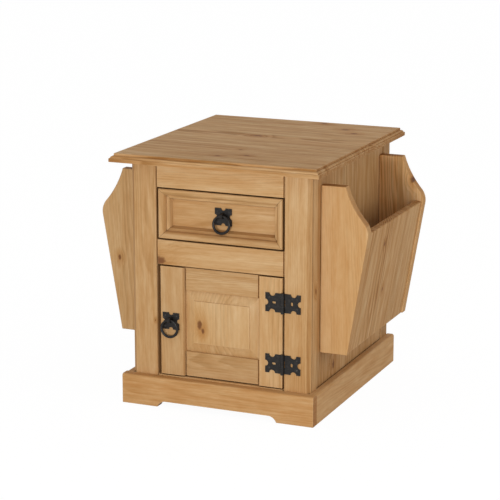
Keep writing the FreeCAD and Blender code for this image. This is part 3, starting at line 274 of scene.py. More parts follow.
class IronFinish(bpy.types.PropertyGroup):
    """Colour and surface of the black ironwork, and the forms of its small pieces."""
    lacquer: FloatVectorProperty(
        name="Lacquer", description="Satin black lacquer", subtype="COLOR", default=linear("#191614"))
    # grey of lacquer thinned by wear, which is also a painted highlight along the arrises
    rubbed_and_highlit: FloatVectorProperty(
        name="Rubbed", description="Lacquer rubbed thin", subtype="COLOR", default=linear("#302C29"))
    dent_size: FloatProperty(
        name="Dent size", description="Width of a hammer mark", unit="LENGTH", default=0.006)
    roughness: FloatProperty(
        name="Lacquer roughness", description="Roughness of the lacquer", subtype="FACTOR", default=0.34)
    shine: FloatProperty(
        name="Lacquer shine", description="Strength of the lacquer's mirror light", subtype="FACTOR",
        default=0.25)
    ring_taper: FloatProperty(
        name="Ring taper", description="Wire at the eye, as a share of the wire below", subtype="FACTOR",
        default=0.82)
    screw_head: FloatProperty(
        name="Screw head", description="Radius of a screw head", unit="LENGTH", default=0.0032)
    screw_dome: FloatProperty(
        name="Screw dome", description="Height of a screw head", unit="LENGTH", default=0.0014)
    screw_slot: FloatProperty(
        name="Screw slot", description="Width of a screw's slot", unit="LENGTH", default=0.0009)
    nail_head: FloatProperty(
        name="Nail head", description="Radius of a nail head", unit="LENGTH", default=0.0022)
    nail_dome: FloatProperty(
        name="Nail dome", description="Height of a nail head", unit="LENGTH", default=0.001)


class Studio(bpy.types.PropertyGroup):
    """Camera, light and floor."""
    camera_place: FloatVectorProperty(
        name="Camera", description="Where the camera stands", subtype="TRANSLATION", unit="LENGTH",
        default=(1.5659, -3.7554, 1.2927))
    camera_target: FloatVectorProperty(
        name="Target", description="Point that the camera looks at", subtype="TRANSLATION", unit="LENGTH",
        default=(-0.0287, 0.0, 0.3007))
    lens: FloatProperty(
        name="Lens", description="Focal length in millimetres on a 36 mm sensor", default=136.6)
    floor: FloatVectorProperty(
        name="Floor", description="Colour of the floor", subtype="COLOR", default=linear("#DADAD8"))
    ambient: FloatProperty(
        name="Ambient", description="Strength of the even light from all round", default=0.6)
    key_place: FloatVectorProperty(
        name="Key light", description="Where the front softbox stands", subtype="TRANSLATION", unit="LENGTH",
        default=(0.36, -3.48, 0.46))
    key_power: FloatProperty(
        name="Key power", description="Power of the front softbox in watts", default=47.0)
    fill_place: FloatVectorProperty(
        name="Fill light", description="Where the right softbox stands", subtype="TRANSLATION", unit="LENGTH",
        default=(2.9, -0.3, 0.95))
    fill_power: FloatProperty(
        name="Fill power", description="Power of the right softbox in watts", default=14.0)
    key_width: FloatProperty(
        name="Key width", description="Side of the front softbox", unit="LENGTH", default=0.45)
    fill_width: FloatProperty(
        name="Fill width", description="Side of the right softbox", unit="LENGTH", default=1.6)


# Materials


def add(tree, kind, inputs=None, give=0, **settings):
    """Add a node with its settings, link or set its inputs, and return one of its outputs."""
    node = tree.nodes.new(kind)
    for name, setting in settings.items():
        setattr(node, name, setting)
    for name, source in (inputs or {}).items():
        if isinstance(source, bpy.types.NodeSocket):
            tree.links.new(source, node.inputs[name])
        else:
            node.inputs[name].default_value = source
    return node.outputs[give]


def blank(name):
    """A new material's node tree and its shader."""
    material = bpy.data.materials.new(name)
    material.use_nodes = True
    return material, material.node_tree, material.node_tree.nodes["Principled BSDF"]


def dress(name, material):
    """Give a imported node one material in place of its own."""
    mesh = frame["nodes"][name].data
    mesh.materials.clear()
    mesh.materials.append(material)


def repeats(across, along):
    """Scale of a pattern that is this large in mm across and along the fibres."""
    return 1 / across, 1 / across, 1 / along


def log_place(node, grain, face, heart, number, slope=0.0):
    """Place and turn that carry part coordinates into the log that a board was sawn from.

    The log's Z runs along the fibres, its X along the face axis. Its heart is its Z axis and leans a little.
    """
    along = AXES[grain]
    out = AXES[face]
    turn = Euler((LEAN[0], LEAN[1] - slope, 0)).to_matrix() @ Matrix((out, along.cross(out), along))
    low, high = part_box(node)
    middle = Vector((*heart, LOG_STEP * (number + 1)))
    return middle - turn @ ((low + high) / 2 * MM), turn.to_euler()


def stain_and_recess_shade(tree, coordinates, node, board):
    """How far faces drank the stain at end grain, narrow edges and rounded edges, and the painted shade on what
    lies behind the front.
    """
    facing = add(tree, "ShaderNodeVectorMath", {0: coordinates.outputs["Normal"]}, operation="ABSOLUTE")
    sides = tree.nodes.new("ShaderNodeSeparateXYZ")
    tree.links.new(facing, sides.inputs[0])
    square = add(tree, "ShaderNodeMath", {0: sides.outputs["X"], 1: sides.outputs["Y"]}, operation="MAXIMUM")
    square = add(tree, "ShaderNodeMath", {0: square, 1: sides.outputs["Z"]}, operation="MAXIMUM")
    square = add(tree, "ShaderNodeMapRange", {0: square, **PLANED}, **SMOOTH)
    shape_and_recess_shade = add(tree, "ShaderNodeMapRange", {0: square, 3: board.shape, 4: 0})
    # What lies behind the front takes painted shade
    if board.recess_shade:
        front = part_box(node)[0]["XYZ".index(board.face)]
        behind = add(tree, "ShaderNodeSeparateXYZ", {0: coordinates.outputs["Object"]}, board.face)
        behind = add(tree, "ShaderNodeMapRange",
                     {0: behind, 1: front + RECESS_SHADE_RANGE[0], 2: front + RECESS_SHADE_RANGE[1], 3: 0, 4: board.recess_shade}, **SMOOTH)
        shape_and_recess_shade = add(tree, "ShaderNodeMath", {0: shape_and_recess_shade, 1: behind}, operation="MAXIMUM")
    across = add(tree, "ShaderNodeVectorMath", {0: facing, 1: AXES[board.grain]}, "Value",
                 operation="DOT_PRODUCT")
    end = add(tree, "ShaderNodeMapRange", {0: across, **END_GRAIN, 3: 0, 4: board.end}, **SMOOTH)
    end = add(tree, "ShaderNodeMath", {0: end, 1: square}, operation="MULTIPLY")
    if board.edge:
        level = add(tree, "ShaderNodeVectorMath", {0: facing, 1: AXES[board.face]}, "Value",
                    operation="DOT_PRODUCT")
        narrow = add(tree, "ShaderNodeMapRange", {0: level, **WIDE_FACE, 3: board.edge, 4: 0}, **SMOOTH)
        end = add(tree, "ShaderNodeMath", {0: end, 1: narrow}, operation="MAXIMUM")
    return end, shape_and_recess_shade


def glued_staves(tree, place, log, depth, board, number):
    """Give each stave of a glued board its own part of the log and its own depth of colour."""
    width_axis = next(axis for axis in "XYZ" if axis not in (board.grain, board.face))
    offset = add(tree, "ShaderNodeSeparateXYZ", {0: place}, width_axis)
    count = add(tree, "ShaderNodeMath", {0: offset, 1: MM / board.stave, 2: -board.seam / board.stave},
                operation="MULTIPLY_ADD")
    stave = add(tree, "ShaderNodeMath", {0: count}, operation="FLOOR")
    seeded = add(tree, "ShaderNodeMath", {0: stave, 1: STAVE_SEED * number}, operation="ADD")
    chance = add(tree, "ShaderNodeTexWhiteNoise", {"W": seeded}, "Color", noise_dimensions="1D")
    log = add(tree, "ShaderNodeVectorMath", {0: chance, 1: STAVE_SHIFT, 2: log}, operation="MULTIPLY_ADD")
    varied = add(tree, "ShaderNodeMapRange", {0: chance, **STAVE_DEPTH})
    depth = add(tree, "ShaderNodeMath", {0: depth, 1: varied}, operation="ADD")
    past = add(tree, "ShaderNodeMath", {0: stave, 1: -0.5}, operation="GREATER_THAN")
    depth = add(tree, "ShaderNodeMath", {0: past, 1: board.step, 2: depth}, operation="MULTIPLY_ADD")
    return log, depth


def heart_distance(tree, log):
    """Distance from the log's heart in mm, with a slow sway along the trunk."""
    scaled = add(tree, "ShaderNodeMapping", {"Vector": log, "Scale": repeats(*SWAY_SIZE)})
    sway = add(tree, "ShaderNodeTexNoise", {"Vector": scaled, "Scale": 1, "Detail": 2}, "Color")
    bent = add(tree, "ShaderNodeVectorMath", {0: sway, 1: (SWAY, SWAY, 0), 2: log}, operation="MULTIPLY_ADD")
    flat = add(tree, "ShaderNodeVectorMath", {0: bent, 1: (1, 1, 0)}, operation="MULTIPLY")
    return add(tree, "ShaderNodeVectorMath", {0: flat}, "Value", operation="LENGTH")


def knot_reach(tree, place, board, knot):
    """Distance from a knot's middle, 1 at its edge: it goes through the board, longer along the fibres."""
    *middle, radius = knot
    stretch = {board.grain: KNOT_STRETCH, board.face: 0.0}
    scale = [MM / radius * stretch.get(axis, 1.0) for axis in "XYZ"]
    shift = [-size * spot / MM for size, spot in zip(scale, middle)]
    near = add(tree, "ShaderNodeMapping", {"Vector": place, "Location": shift, "Scale": scale})
    return add(tree, "ShaderNodeVectorMath", {0: near}, "Value", operation="LENGTH")


def grow_knots(tree, place, log, radius, depth, board):
    """Knots push the rings aside and darken the wood round them; also returns the share of knot."""
    scaled = add(tree, "ShaderNodeMapping", {"Vector": log, "Scale": repeats(*KNOT_OUTLINE)})
    ragged = add(tree, "ShaderNodeTexNoise", {"Vector": scaled, "Scale": 1, "Detail": 2})
    core = 0.0
    for knot in board.knots:
        reach = knot_reach(tree, place, board, knot)
        reach = add(tree, "ShaderNodeMath", {0: ragged, 1: KNOT_RAGGED, 2: reach}, operation="MULTIPLY_ADD")
        heart = add(tree, "ShaderNodeMapRange", {0: reach, **KNOT_HEART, 3: 1, 4: 0}, **SMOOTH)
        near = add(tree, "ShaderNodeMapRange", {0: reach, **KNOT_HALO, 3: 1, 4: 0}, **SMOOTH)
        core = add(tree, "ShaderNodeMath", {0: core, 1: heart}, operation="MAXIMUM")
        radius = add(tree, "ShaderNodeMath", {0: near, 1: KNOT_PUSH * knot[-1], 2: radius},
                     operation="MULTIPLY_ADD")
        depth = add(tree, "ShaderNodeMath", {0: near, 1: KNOT_DEPTH, 2: depth}, operation="MULTIPLY_ADD")
    return radius, depth, core


def late_growth(tree, log, radius, end, board):
    """Share of late wood, which sets in slowly and stops sharply each year, stronger here and there."""
    spacing = bpy.context.scene.table_pine.ring_spacing * MM
    slow = add(tree, "ShaderNodeMath", {0: radius, 1: 1 / YEAR_RUN}, operation="MULTIPLY")
    years = add(tree, "ShaderNodeTexNoise", {"W": slow, "Scale": 1, "Detail": 1}, noise_dimensions="1D")
    steady = add(tree, "ShaderNodeMath", {0: radius, 1: 1 / spacing}, operation="MULTIPLY")
    age = add(tree, "ShaderNodeMath", {0: years, 1: YEAR_SPREAD, 2: steady}, operation="MULTIPLY_ADD")
    season = add(tree, "ShaderNodeMath", {0: age}, operation="FRACT")
    rise = add(tree, "ShaderNodeMapRange", {0: season, **LATE_RISE, 3: 0, 4: 1}, **SMOOTH)
    fall = add(tree, "ShaderNodeMapRange", {0: season, **LATE_FALL, 3: 1, 4: 0}, **SMOOTH)
    late = add(tree, "ShaderNodeMath", {0: rise, 1: fall}, operation="MULTIPLY")
    scaled = add(tree, "ShaderNodeMapping", {"Vector": log, "Scale": repeats(*PATCH_SIZE)})
    patch = add(tree, "ShaderNodeTexNoise", {"Vector": scaled, "Scale": 1, "Detail": 1})
    patch = add(tree, "ShaderNodeMapRange", {0: patch, **PATCH_STRENGTH}, **SMOOTH)
    patch = add(tree, "ShaderNodeMath", {0: end, 1: END_RINGS, 2: patch}, operation="MULTIPLY_ADD")
    ring = add(tree, "ShaderNodeMath", {0: late, 1: patch}, operation="MULTIPLY")
    return add(tree, "ShaderNodeMath", {0: ring, 1: board.figure}, operation="MULTIPLY", use_clamp=True)


def pine(node, board, number):
    """Scots pine, planed, sanded, stained honey and waxed.

    The eye sees rings of pale early and amber late wood cut by the board's faces, fine fibres, broad streaks,
    brown knots that the grain flows round, dark end grain, pale arrises from wear and a painted highlight,
    painted shade in corners and recesses, and a soft wax sheen.
    """
    finish = bpy.context.scene.table_pine
    material, tree, shader = blank(f"waxed_pine_{node}")
    coordinates = tree.nodes.new("ShaderNodeTexCoord")
    place = coordinates.outputs["Object"]
    location, turn = log_place(node, board.grain, board.face, board.heart, number, board.slope)
    log = add(tree, "ShaderNodeMapping",
              {"Vector": place, "Location": location, "Rotation": turn, "Scale": (MM, MM, MM)})
    early_wood, late_wood = (
        (*Vector(colour).lerp(Vector(finish.amber), board.warmth) * board.tone, 1)
        for colour in (finish.early_wood, finish.late_wood))
    end, shape_and_recess_shade = stain_and_recess_shade(tree, coordinates, node, board)
    depth = 1.0
    if board.fade:
        low, high = (corner["XYZ".index(board.grain)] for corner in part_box(node))
        ahead = add(tree, "ShaderNodeSeparateXYZ", {0: place}, board.grain)
        depth = add(tree, "ShaderNodeMapRange",
                    {0: ahead, 1: low, 2: high, 3: 1 + board.fade / 2, 4: 1 - board.fade / 2})
    if board.stave:
        log, depth = glued_staves(tree, place, log, depth, board, number)
    radius = heart_distance(tree, log)
    if board.knots:
        radius, depth, core = grow_knots(tree, place, log, radius, depth, board)
    ring = late_growth(tree, log, radius, end, board)
    colour = add(tree, "ShaderNodeMixRGB", {0: ring, 1: early_wood, 2: late_wood})
    # Streaks, fibres and blotches deepen the colour as a power, so that darker wood is also warmer
    streak_width, fibre_width, blotch_width = (
        width * MM for width in (finish.streak_width, finish.fibre_width, finish.blotch_width))
    scaled = add(tree, "ShaderNodeMapping", {"Vector": log, "Scale": repeats(streak_width, STREAK_LENGTH)})
    streak = add(tree, "ShaderNodeTexNoise", {"Vector": scaled, "Scale": 1, "Detail": 3})
    scaled = add(tree, "ShaderNodeMapping", {"Vector": log, "Scale": repeats(fibre_width, FIBRE_LENGTH)})
    fibre = add(tree, "ShaderNodeTexNoise", {"Vector": scaled, "Scale": 1, "Detail": 3})
    scaled = add(tree, "ShaderNodeMapping",
                 {"Vector": log, "Scale": repeats(blotch_width, blotch_width * BLOTCH_STRETCH)})
    blotch = add(tree, "ShaderNodeTexNoise", {"Vector": scaled, "Scale": 1, "Detail": 3, "Roughness": 0.75})
    for noise, strength in (
            (streak, STREAK_STRENGTH * board.figure), (fibre, FIBRE_STRENGTH * board.figure),
            (blotch, finish.blotch)):
        centred = add(tree, "ShaderNodeMath", {0: noise, 1: 0.5}, operation="SUBTRACT")
        depth = add(tree, "ShaderNodeMath", {0: centred, 1: -strength, 2: depth}, operation="MULTIPLY_ADD")
    colour = add(tree, "ShaderNodeGamma", {0: colour, 1: depth})
    if board.knots:
        colour = add(tree, "ShaderNodeMixRGB", {0: core, 1: colour, 2: (*finish.knot, 1)})
    # Arrises paler from wear and a painted highlight, end grain and rounded edges dark with stain, painted
    # shade on what lies behind the front, and painted shade with collected stain in the corners
    thin = add(tree, "ShaderNodeAmbientOcclusion", {"Distance": ARRIS_WIDTH}, "AO", samples=4, inside=True,
               only_local=True)
    rubbed_and_highlit = add(tree, "ShaderNodeMapRange", {0: thin, 1: 0.5, 2: 0.95, 3: 0.35, 4: 0}, **SMOOTH)
    colour = add(tree, "ShaderNodeMixRGB", {0: rubbed_and_highlit, 1: colour, 2: (*finish.wear_and_highlight, 1)})
    # Occlusion within a centimetre paints shade into corners, with collected stain
    crevice = add(tree, "ShaderNodeAmbientOcclusion", {"Distance": CORNER_WIDTH}, "AO", samples=6)
    shade_and_stain_share = add(tree, "ShaderNodeMapRange", {0: crevice, 1: 0.0, 2: board.corner_shade_openness, 3: 0.8, 4: 0}, **SMOOTH)
    for share, stain in ((end, END_STAIN), (shape_and_recess_shade, SHAPE_STAIN_AND_RECESS_SHADE), (shade_and_stain_share, CORNER_SHADE_AND_STAIN)):
        colour = add(tree, "ShaderNodeMixRGB", {0: share, 1: colour, 2: stain}, blend_type="MULTIPLY")
    tree.links.new(colour, shader.inputs["Base Color"])
    gloss = add(tree, "ShaderNodeMapRange",
                {0: fibre, 1: 0.25, 2: 0.75, 3: finish.roughness + 0.08, 4: finish.roughness - 0.06},
                **SMOOTH)
    tree.links.new(gloss, shader.inputs["Roughness"])
    shader.inputs["Specular IOR Level"].default_value = finish.sheen
    height = add(tree, "ShaderNodeMath", {0: ring, 1: 0.6, 2: fibre}, operation="MULTIPLY_ADD")
    bump = add(tree, "ShaderNodeBump", {"Strength": 0.35, "Distance": 0.00025, "Height": height})
    tree.links.new(bump, shader.inputs["Normal"])
    return material


def plywood(node, grain, face, number):
    """Birch plywood, peeled and sanded: a pale face with wide soft flame figure and no gloss."""
    material, tree, shader = blank(f"birch_plywood_{node}")
    place = add(tree, "ShaderNodeTexCoord", give="Object")
    location, turn = log_place(node, grain, face, PLY_HEART, number)
    log = add(tree, "ShaderNodeMapping",
              {"Vector": place, "Location": location, "Rotation": turn, "Scale": (MM, MM, MM)})
    scaled = add(tree, "ShaderNodeMapping", {"Vector": log, "Scale": repeats(*FLAME_SIZE)})
    figure = add(tree, "ShaderNodeTexNoise", {"Vector": scaled, "Scale": 1, "Detail": 3})
    waves = add(tree, "ShaderNodeMath", {0: figure, 1: FLAMES}, operation="MULTIPLY")
    waves = add(tree, "ShaderNodeMath", {0: waves}, operation="SINE")
    flame = add(tree, "ShaderNodeMapRange", {0: waves, 1: -1, 2: 1, 3: 0, 4: 0.5}, **SMOOTH)
    colour = add(tree, "ShaderNodeMixRGB", {0: flame, 1: (*linear("#D6B88F"), 1), 2: (*linear("#BE9766"), 1)})
    scaled = add(tree, "ShaderNodeMapping", {"Vector": log, "Scale": repeats(*PLY_FIBRE)})
    fibre = add(tree, "ShaderNodeTexNoise", {"Vector": scaled, "Scale": 1, "Detail": 3})
    depth = add(tree, "ShaderNodeMapRange", {0: fibre, 1: 0.25, 2: 0.75, 3: 1.1, 4: 0.94}, **SMOOTH)
    colour = add(tree, "ShaderNodeGamma", {0: colour, 1: depth})
    tree.links.new(colour, shader.inputs["Base Color"])
    dull = add(tree, "ShaderNodeMapRange", {0: fibre, 1: 0.25, 2: 0.75, 3: 0.72, 4: 0.6}, **SMOOTH)
    tree.links.new(dull, shader.inputs["Roughness"])
    bump = add(tree, "ShaderNodeBump", {"Strength": 0.3, "Distance": 0.0002, "Height": fibre})
    tree.links.new(bump, shader.inputs["Normal"])
    return material


def black_iron():
    """Sheet iron, pressed and hammered, dipped in satin black lacquer.

    The eye sees near black with soft broken highlights from the hammer marks, greyer spots where the lacquer
    has thinned, and greyer arrises that show wear and a painted highlight.
    """
    finish = bpy.context.scene.table_iron
    material, tree, shader = blank("black_lacquered_iron")
    place = add(tree, "ShaderNodeTexCoord", give="Object")
    dents = add(tree, "ShaderNodeTexVoronoi",
                {"Vector": place, "Scale": 1 / finish.dent_size, "Smoothness": 0.6}, "Distance",
                feature="SMOOTH_F1")
    grit = add(tree, "ShaderNodeTexNoise", {"Vector": place, "Scale": MM / IRON_GRIT, "Detail": 3})
    cloud = add(tree, "ShaderNodeTexNoise", {"Vector": place, "Scale": MM / IRON_CLOUD, "Detail": 3})
    # Arrises and spots turn grey: wear, and along the arrises a painted highlight
    thin = add(tree, "ShaderNodeAmbientOcclusion", {"Distance": IRON_ARRIS / MM}, "AO", samples=4,
               inside=True, only_local=True)
    arris = add(tree, "ShaderNodeMapRange", {0: thin, 1: 0.45, 2: 0.9, 3: 0.7, 4: 0}, **SMOOTH)
    spots = add(tree, "ShaderNodeMapRange", {0: cloud, 1: 0.52, 2: 0.72, 3: 0, 4: 0.8}, **SMOOTH)
    wear_and_highlight = add(tree, "ShaderNodeMath", {0: arris, 1: spots}, operation="MAXIMUM")
    colour = add(tree, "ShaderNodeMixRGB", {0: wear_and_highlight, 1: (*finish.lacquer, 1), 2: (*finish.rubbed_and_highlit, 1)})
    tree.links.new(colour, shader.inputs["Base Color"])
    satin = add(tree, "ShaderNodeMapRange",
                {0: grit, 1: 0.3, 2: 0.7, 3: finish.roughness - 0.08, 4: finish.roughness + 0.1}, **SMOOTH)
    tree.links.new(satin, shader.inputs["Roughness"])
    shader.inputs["Specular IOR Level"].default_value = finish.shine
    height = add(tree, "ShaderNodeMath", {0: grit, 1: 0.12, 2: dents}, operation="MULTIPLY_ADD")
    bump = add(tree, "ShaderNodeBump", {"Strength": 0.7, "Distance": 0.0006, "Height": height})
    tree.links.new(bump, shader.inputs["Normal"])
    return material


def zinc_steel():
    """Zinc plated steel: bright grey metal with faint yellow and blue clouds from the plating bath."""
    material, tree, shader = blank("zinc_plated_steel")
    place = add(tree, "ShaderNodeTexCoord", give="Object")
    cloud = add(tree, "ShaderNodeTexNoise", {"Vector": place, "Scale": MM / ZINC_CLOUD, "Detail": 2})
    colour = add(tree, "ShaderNodeMixRGB", {0: cloud, 1: (*linear("#C9C7BE"), 1), 2: (*linear("#B4B8BE"), 1)})
    tree.links.new(colour, shader.inputs["Base Color"])
    shader.inputs["Metallic"].default_value = 1.0
    plated = add(tree, "ShaderNodeMapRange", {0: cloud, 1: 0.3, 2: 0.7, 3: 0.28, 4: 0.42}, **SMOOTH)
    tree.links.new(plated, shader.inputs["Roughness"])
    return material


def brown_plastic():
    """Moulded ABS, spark textured: an even brown with a fine dull grain."""
    material, tree, shader = blank("moulded_brown_abs")
    place = add(tree, "ShaderNodeTexCoord", give="Object")
    grain = add(tree, "ShaderNodeTexNoise", {"Vector": place, "Scale": MM / ABS_GRAIN, "Detail": 2})
    colour = add(tree, "ShaderNodeMixRGB", {0: grain, 1: (*linear("#57391F"), 1), 2: (*linear("#6A482A"), 1)})
    tree.links.new(colour, shader.inputs["Base Color"])
    dull = add(tree, "ShaderNodeMapRange", {0: grain, 1: 0.3, 2: 0.7, 3: 0.48, 4: 0.6}, **SMOOTH)
    tree.links.new(dull, shader.inputs["Roughness"])
    bump = add(tree, "ShaderNodeBump", {"Strength": 0.2, "Distance": 0.0002, "Height": grain})
    tree.links.new(bump, shader.inputs["Normal"])
    return material


# Ironwork


def domed_head(radius, height, slot):
    """Surface of a screw or nail head on a grid of across and along, in metres, out along the third axis.

    height falls from the middle to the rim as 1 - HEAD_FALL r^2; across doubles at the slot's edges, where
    the surface drops to the slot's floor; the border runs down the rim to the base and closes on the axis.
    """
    half = slot / 2
    rows, columns = HEAD_GRID
    along = np.sqrt(radius ** 2 - (LAST_ROW * half) ** 2) * np.sin(np.linspace(-np.pi / 2, np.pi / 2, rows))
    chord = np.sqrt(radius ** 2 - along ** 2)
    share = np.linspace(1, 0, columns)
    outer = half + (chord[:, None] - half) * share
    inner = np.broadcast_to(half * np.array([-1.0, 0.0, 1.0]), (len(along), 3))
    across = np.concatenate([-outer, inner, outer[:, ::-1]], axis=1)
    along = np.broadcast_to(along[:, None], across.shape)
    out = height * (1 - HEAD_FALL * (across ** 2 + along ** 2) / radius ** 2)
    in_slot = np.abs(np.arange(across.shape[1]) - columns - 1) <= 1
    out = np.minimum(out, np.where(in_slot, SLOT_FLOOR * height, height))
    surface = np.stack([across, along, out], axis=-1)
    rim = np.pad(surface, ((1, 1), (1, 1), (0, 0)), mode="edge")
    rim[[0, -1], :, 2] = 0
    rim[:, [0, -1], 2] = 0
    return np.pad(rim, ((1, 1), (1, 1), (0, 0)))


def set_heads(places, base, head, turns):
    """Heads at places (x, z) on the plane y = base, each turned by its own angle, facing the front."""
    across, along, out = np.moveaxis(head, -1, 0)
    return [
        np.stack([x + across * np.cos(turn) - along * np.sin(turn), base - out,
                  z + across * np.sin(turn) + along * np.cos(turn)], axis=-1)
        for (x, z), turn in zip(places, turns)]


def forged_ring(centre, pivot, radius, wire, taper):
    """Surface of a pull ring: a circle of the wire's section carried round the ring.

    The section's radius is wire * (taper + (1 - taper) * sin(a / 2)) with a from the eye, so the ring is thin
    where it hangs and full below, and two slow ripples stand for the hammer.
    """
    down = np.array((centre - pivot).normalized())
    side = np.array([1.0, 0.0, 0.0])
    normal = np.cross(side, down)
    round_ring = np.linspace(0, 2 * np.pi, RING_GRID[0])[:, None, None]
    round_wire = np.linspace(0, 2 * np.pi, RING_GRID[1])[None, :, None]
    ripple = 0.97 + 0.02 * np.sin(9 * round_ring + 2 * np.sin(round_wire)) + 0.01 * np.sin(23 * round_ring)
    section = wire * (taper + (1 - taper) * np.sin(round_ring / 2)) * ripple
    radial = -down * np.cos(round_ring) + side * np.sin(round_ring)
    spread = radial * (radius + section * np.cos(round_wire))
    return np.array(centre) + spread + normal * section * np.sin(round_wire)


def iron_piece(name, grids, body, node, material):
    """One object from surface grids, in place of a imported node.

    Points are merged where a grid closes on itself, then faces are turned outwards.
    """
    points = np.concatenate([grid.reshape(-1, 3) for grid in grids])
    faces = []
    first = 0
    for grid in grids:
        index = first + np.arange(grid.shape[0] * grid.shape[1]).reshape(grid.shape[:2])
        corners = (index[:-1, :-1], index[1:, :-1], index[1:, 1:], index[:-1, 1:])
        faces.append(np.stack(corners, axis=-1).reshape(-1, 4))
        first += index.size
    mesh = bpy.data.meshes.new(name)
    mesh.from_pydata(points, [], np.concatenate(faces))
    shell = bmesh.new()
    shell.from_mesh(mesh)
    bmesh.ops.remove_doubles(shell, verts=shell.verts, dist=MERGE)
    bmesh.ops.recalc_face_normals(shell, faces=shell.faces)
    shell.to_mesh(mesh)
    shell.free()
    mesh.shade_smooth()
    mesh.set_sharp_from_angle(angle=CREASE)
    mesh.materials.append(material)
    piece = bpy.data.objects.new(name, mesh)
    bpy.context.collection.objects.link(piece)
    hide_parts(node)
    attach(piece, body)


# Stage


def aim(item, place, target):
    """Set an object at a place, its -Z towards a target."""
    item.location = place
    item.rotation_euler = (Vector(target) - Vector(place)).to_track_quat("-Z", "Y").to_euler()


def seen_straight(tree):
    """1 where the camera, a reflection or a transparent piece looks, 0 where light bounces."""
    path = tree.nodes.new("ShaderNodeLightPath")
    seen = path.outputs["Is Camera Ray"]
    for kind in ("Is Glossy Ray", "Is Transmission Ray"):
        seen = add(tree, "ShaderNodeMath", {0: seen, 1: path.outputs[kind]}, operation="MAXIMUM")
    return seen


def studio_floor(studio):
    """A wide level floor, white to the camera and to reflections, with the table's soft shadow on it."""
    side = np.array([-FLOOR_HALF, FLOOR_HALF])
    x, y = np.meshgrid(side, side)
    points = np.stack([x.ravel(), y.ravel(), np.zeros(x.size)], axis=1)
    mesh = bpy.data.meshes.new("studio_floor")
    mesh.from_pydata(points, [], [(0, 1, 3, 2)])
    floor = bpy.data.objects.new("studio_floor", mesh)
    bpy.context.collection.objects.link(floor)
    material, tree, shader = blank("matt_white_floor")
    shader.inputs["Base Color"].default_value = (*studio.floor, 1)
    shader.inputs["Roughness"].default_value = 0.9
    white = add(tree, "ShaderNodeEmission", {"Color": (1, 1, 1, 1), "Strength": FLOOR_GLOW})
    shade = add(tree, "ShaderNodeBsdfDiffuse", {"Color": FLOOR_GREY})
    bright = add(tree, "ShaderNodeAddShader", {0: white, 1: shade})
    mixed = add(tree, "ShaderNodeMixShader", {0: seen_straight(tree), 1: shader.outputs[0], 2: bright})
    tree.links.new(mixed, tree.nodes["Material Output"].inputs["Surface"])
    mesh.materials.append(material)


def studio_world(studio):
    """Even pale light from all round; the camera and reflections see plain white."""
    world = bpy.data.worlds.new("studio")
    bpy.context.scene.world = world
    world.use_nodes = True
    tree = world.node_tree
    strength = add(tree, "ShaderNodeMapRange", {0: seen_straight(tree), 3: studio.ambient, 4: 1.0})
    tree.links.new(strength, tree.nodes["Background"].inputs["Strength"])
    tree.nodes["Background"].inputs["Color"].default_value = (1, 1, 1, 1)


def softboxes(studio):
    """One soft light in front at the table's own level and a wide weak one on the right."""
    for name, place, power, width in (
            ("key", studio.key_place, studio.key_power, studio.key_width),
            ("fill", studio.fill_place, studio.fill_power, studio.fill_width)):
        lamp = bpy.data.lights.new(f"{name}_softbox", "AREA")
        lamp.energy = power
        lamp.size = width
        light = bpy.data.objects.new(f"{name}_softbox", lamp)
        bpy.context.collection.objects.link(light)
        aim(light, place, studio.camera_target)


def studio_camera(studio):
    """The photograph's point of view."""
    lens = bpy.data.cameras.new("camera")
    lens.lens = studio.lens
    lens.sensor_width = 36
    camera = bpy.data.objects.new("camera", lens)
    bpy.context.collection.objects.link(camera)
    aim(camera, studio.camera_place, studio.camera_target)
    bpy.context.scene.camera = camera


# Operators


def dress_boards(group):
    """Give every board of a group its own pine."""
    first = list(BOARDS).index(group) * GROUP_STEP
    for number, (node, board) in enumerate(BOARDS[group].items(), first):
        dress(node, pine(node, board, number))


class TABLE_OT_dress_top(bpy.types.Operator):
    """Pine for the moulded top"""
    bl_idname = "table.dress_top"
    bl_label = "Dress top"

    def execute(self, context):
        dress_boards("top")
        return {"FINISHED"}


class TABLE_OT_dress_cabinet(bpy.types.Operator):
    """Pine for posts, rails, side panels and the boards inside"""
    bl_idname = "table.dress_cabinet"
    bl_label = "Dress cabinet"

    def execute(self, context):
        dress_boards("cabinet")
        return {"FINISHED"}


class TABLE_OT_dress_plinth(bpy.types.Operator):
    """Pine for the three plinth boards"""
    bl_idname = "table.dress_plinth"
    bl_label = "Dress plinth"

    def execute(self, context):
        dress_boards("plinth")
        return {"FINISHED"}


class TABLE_OT_dress_racks(bpy.types.Operator):
    """Pine for both magazine racks"""
    bl_idname = "table.dress_racks"
    bl_label = "Dress racks"

    def execute(self, context):
        dress_boards("racks")
        return {"FINISHED"}


class TABLE_OT_dress_drawer(bpy.types.Operator):
    """Pine for the drawer front and its box"""
    bl_idname = "table.dress_drawer"
    bl_label = "Dress drawer"

    def execute(self, context):
        dress_boards("drawer")
        return {"FINISHED"}


class TABLE_OT_dress_door(bpy.types.Operator):
    """Pine for the framed door"""
    bl_idname = "table.dress_door"
    bl_label = "Dress door"

    def execute(self, context):
        dress_boards("door")
        return {"FINISHED"}


class TABLE_OT_dress_hidden(bpy.types.Operator):
    """Plywood sheets, zinc screws and the door catch"""
    bl_idname = "table.dress_hidden"
    bl_label = "Dress hidden parts"

    def execute(self, context):
        for number, (node, (grain, face)) in enumerate(PLYWOOD_SHEETS.items()):
            dress(node, plywood(node, grain, face, number))
        steel = zinc_steel()
        for node in HIDDEN_METAL:
            dress(node, steel)
        dress("door_catch", brown_plastic())
        return {"FINISHED"}


class TABLE_OT_dress_ironwork(bpy.types.Operator):
    """Black iron for hinges and pull plates"""
    bl_idname = "table.dress_ironwork"
    bl_label = "Dress ironwork"

    def execute(self, context):
        iron = black_iron()
        for node in IRON_SHEETS:
            dress(node, iron)
        return {"FINISHED"}


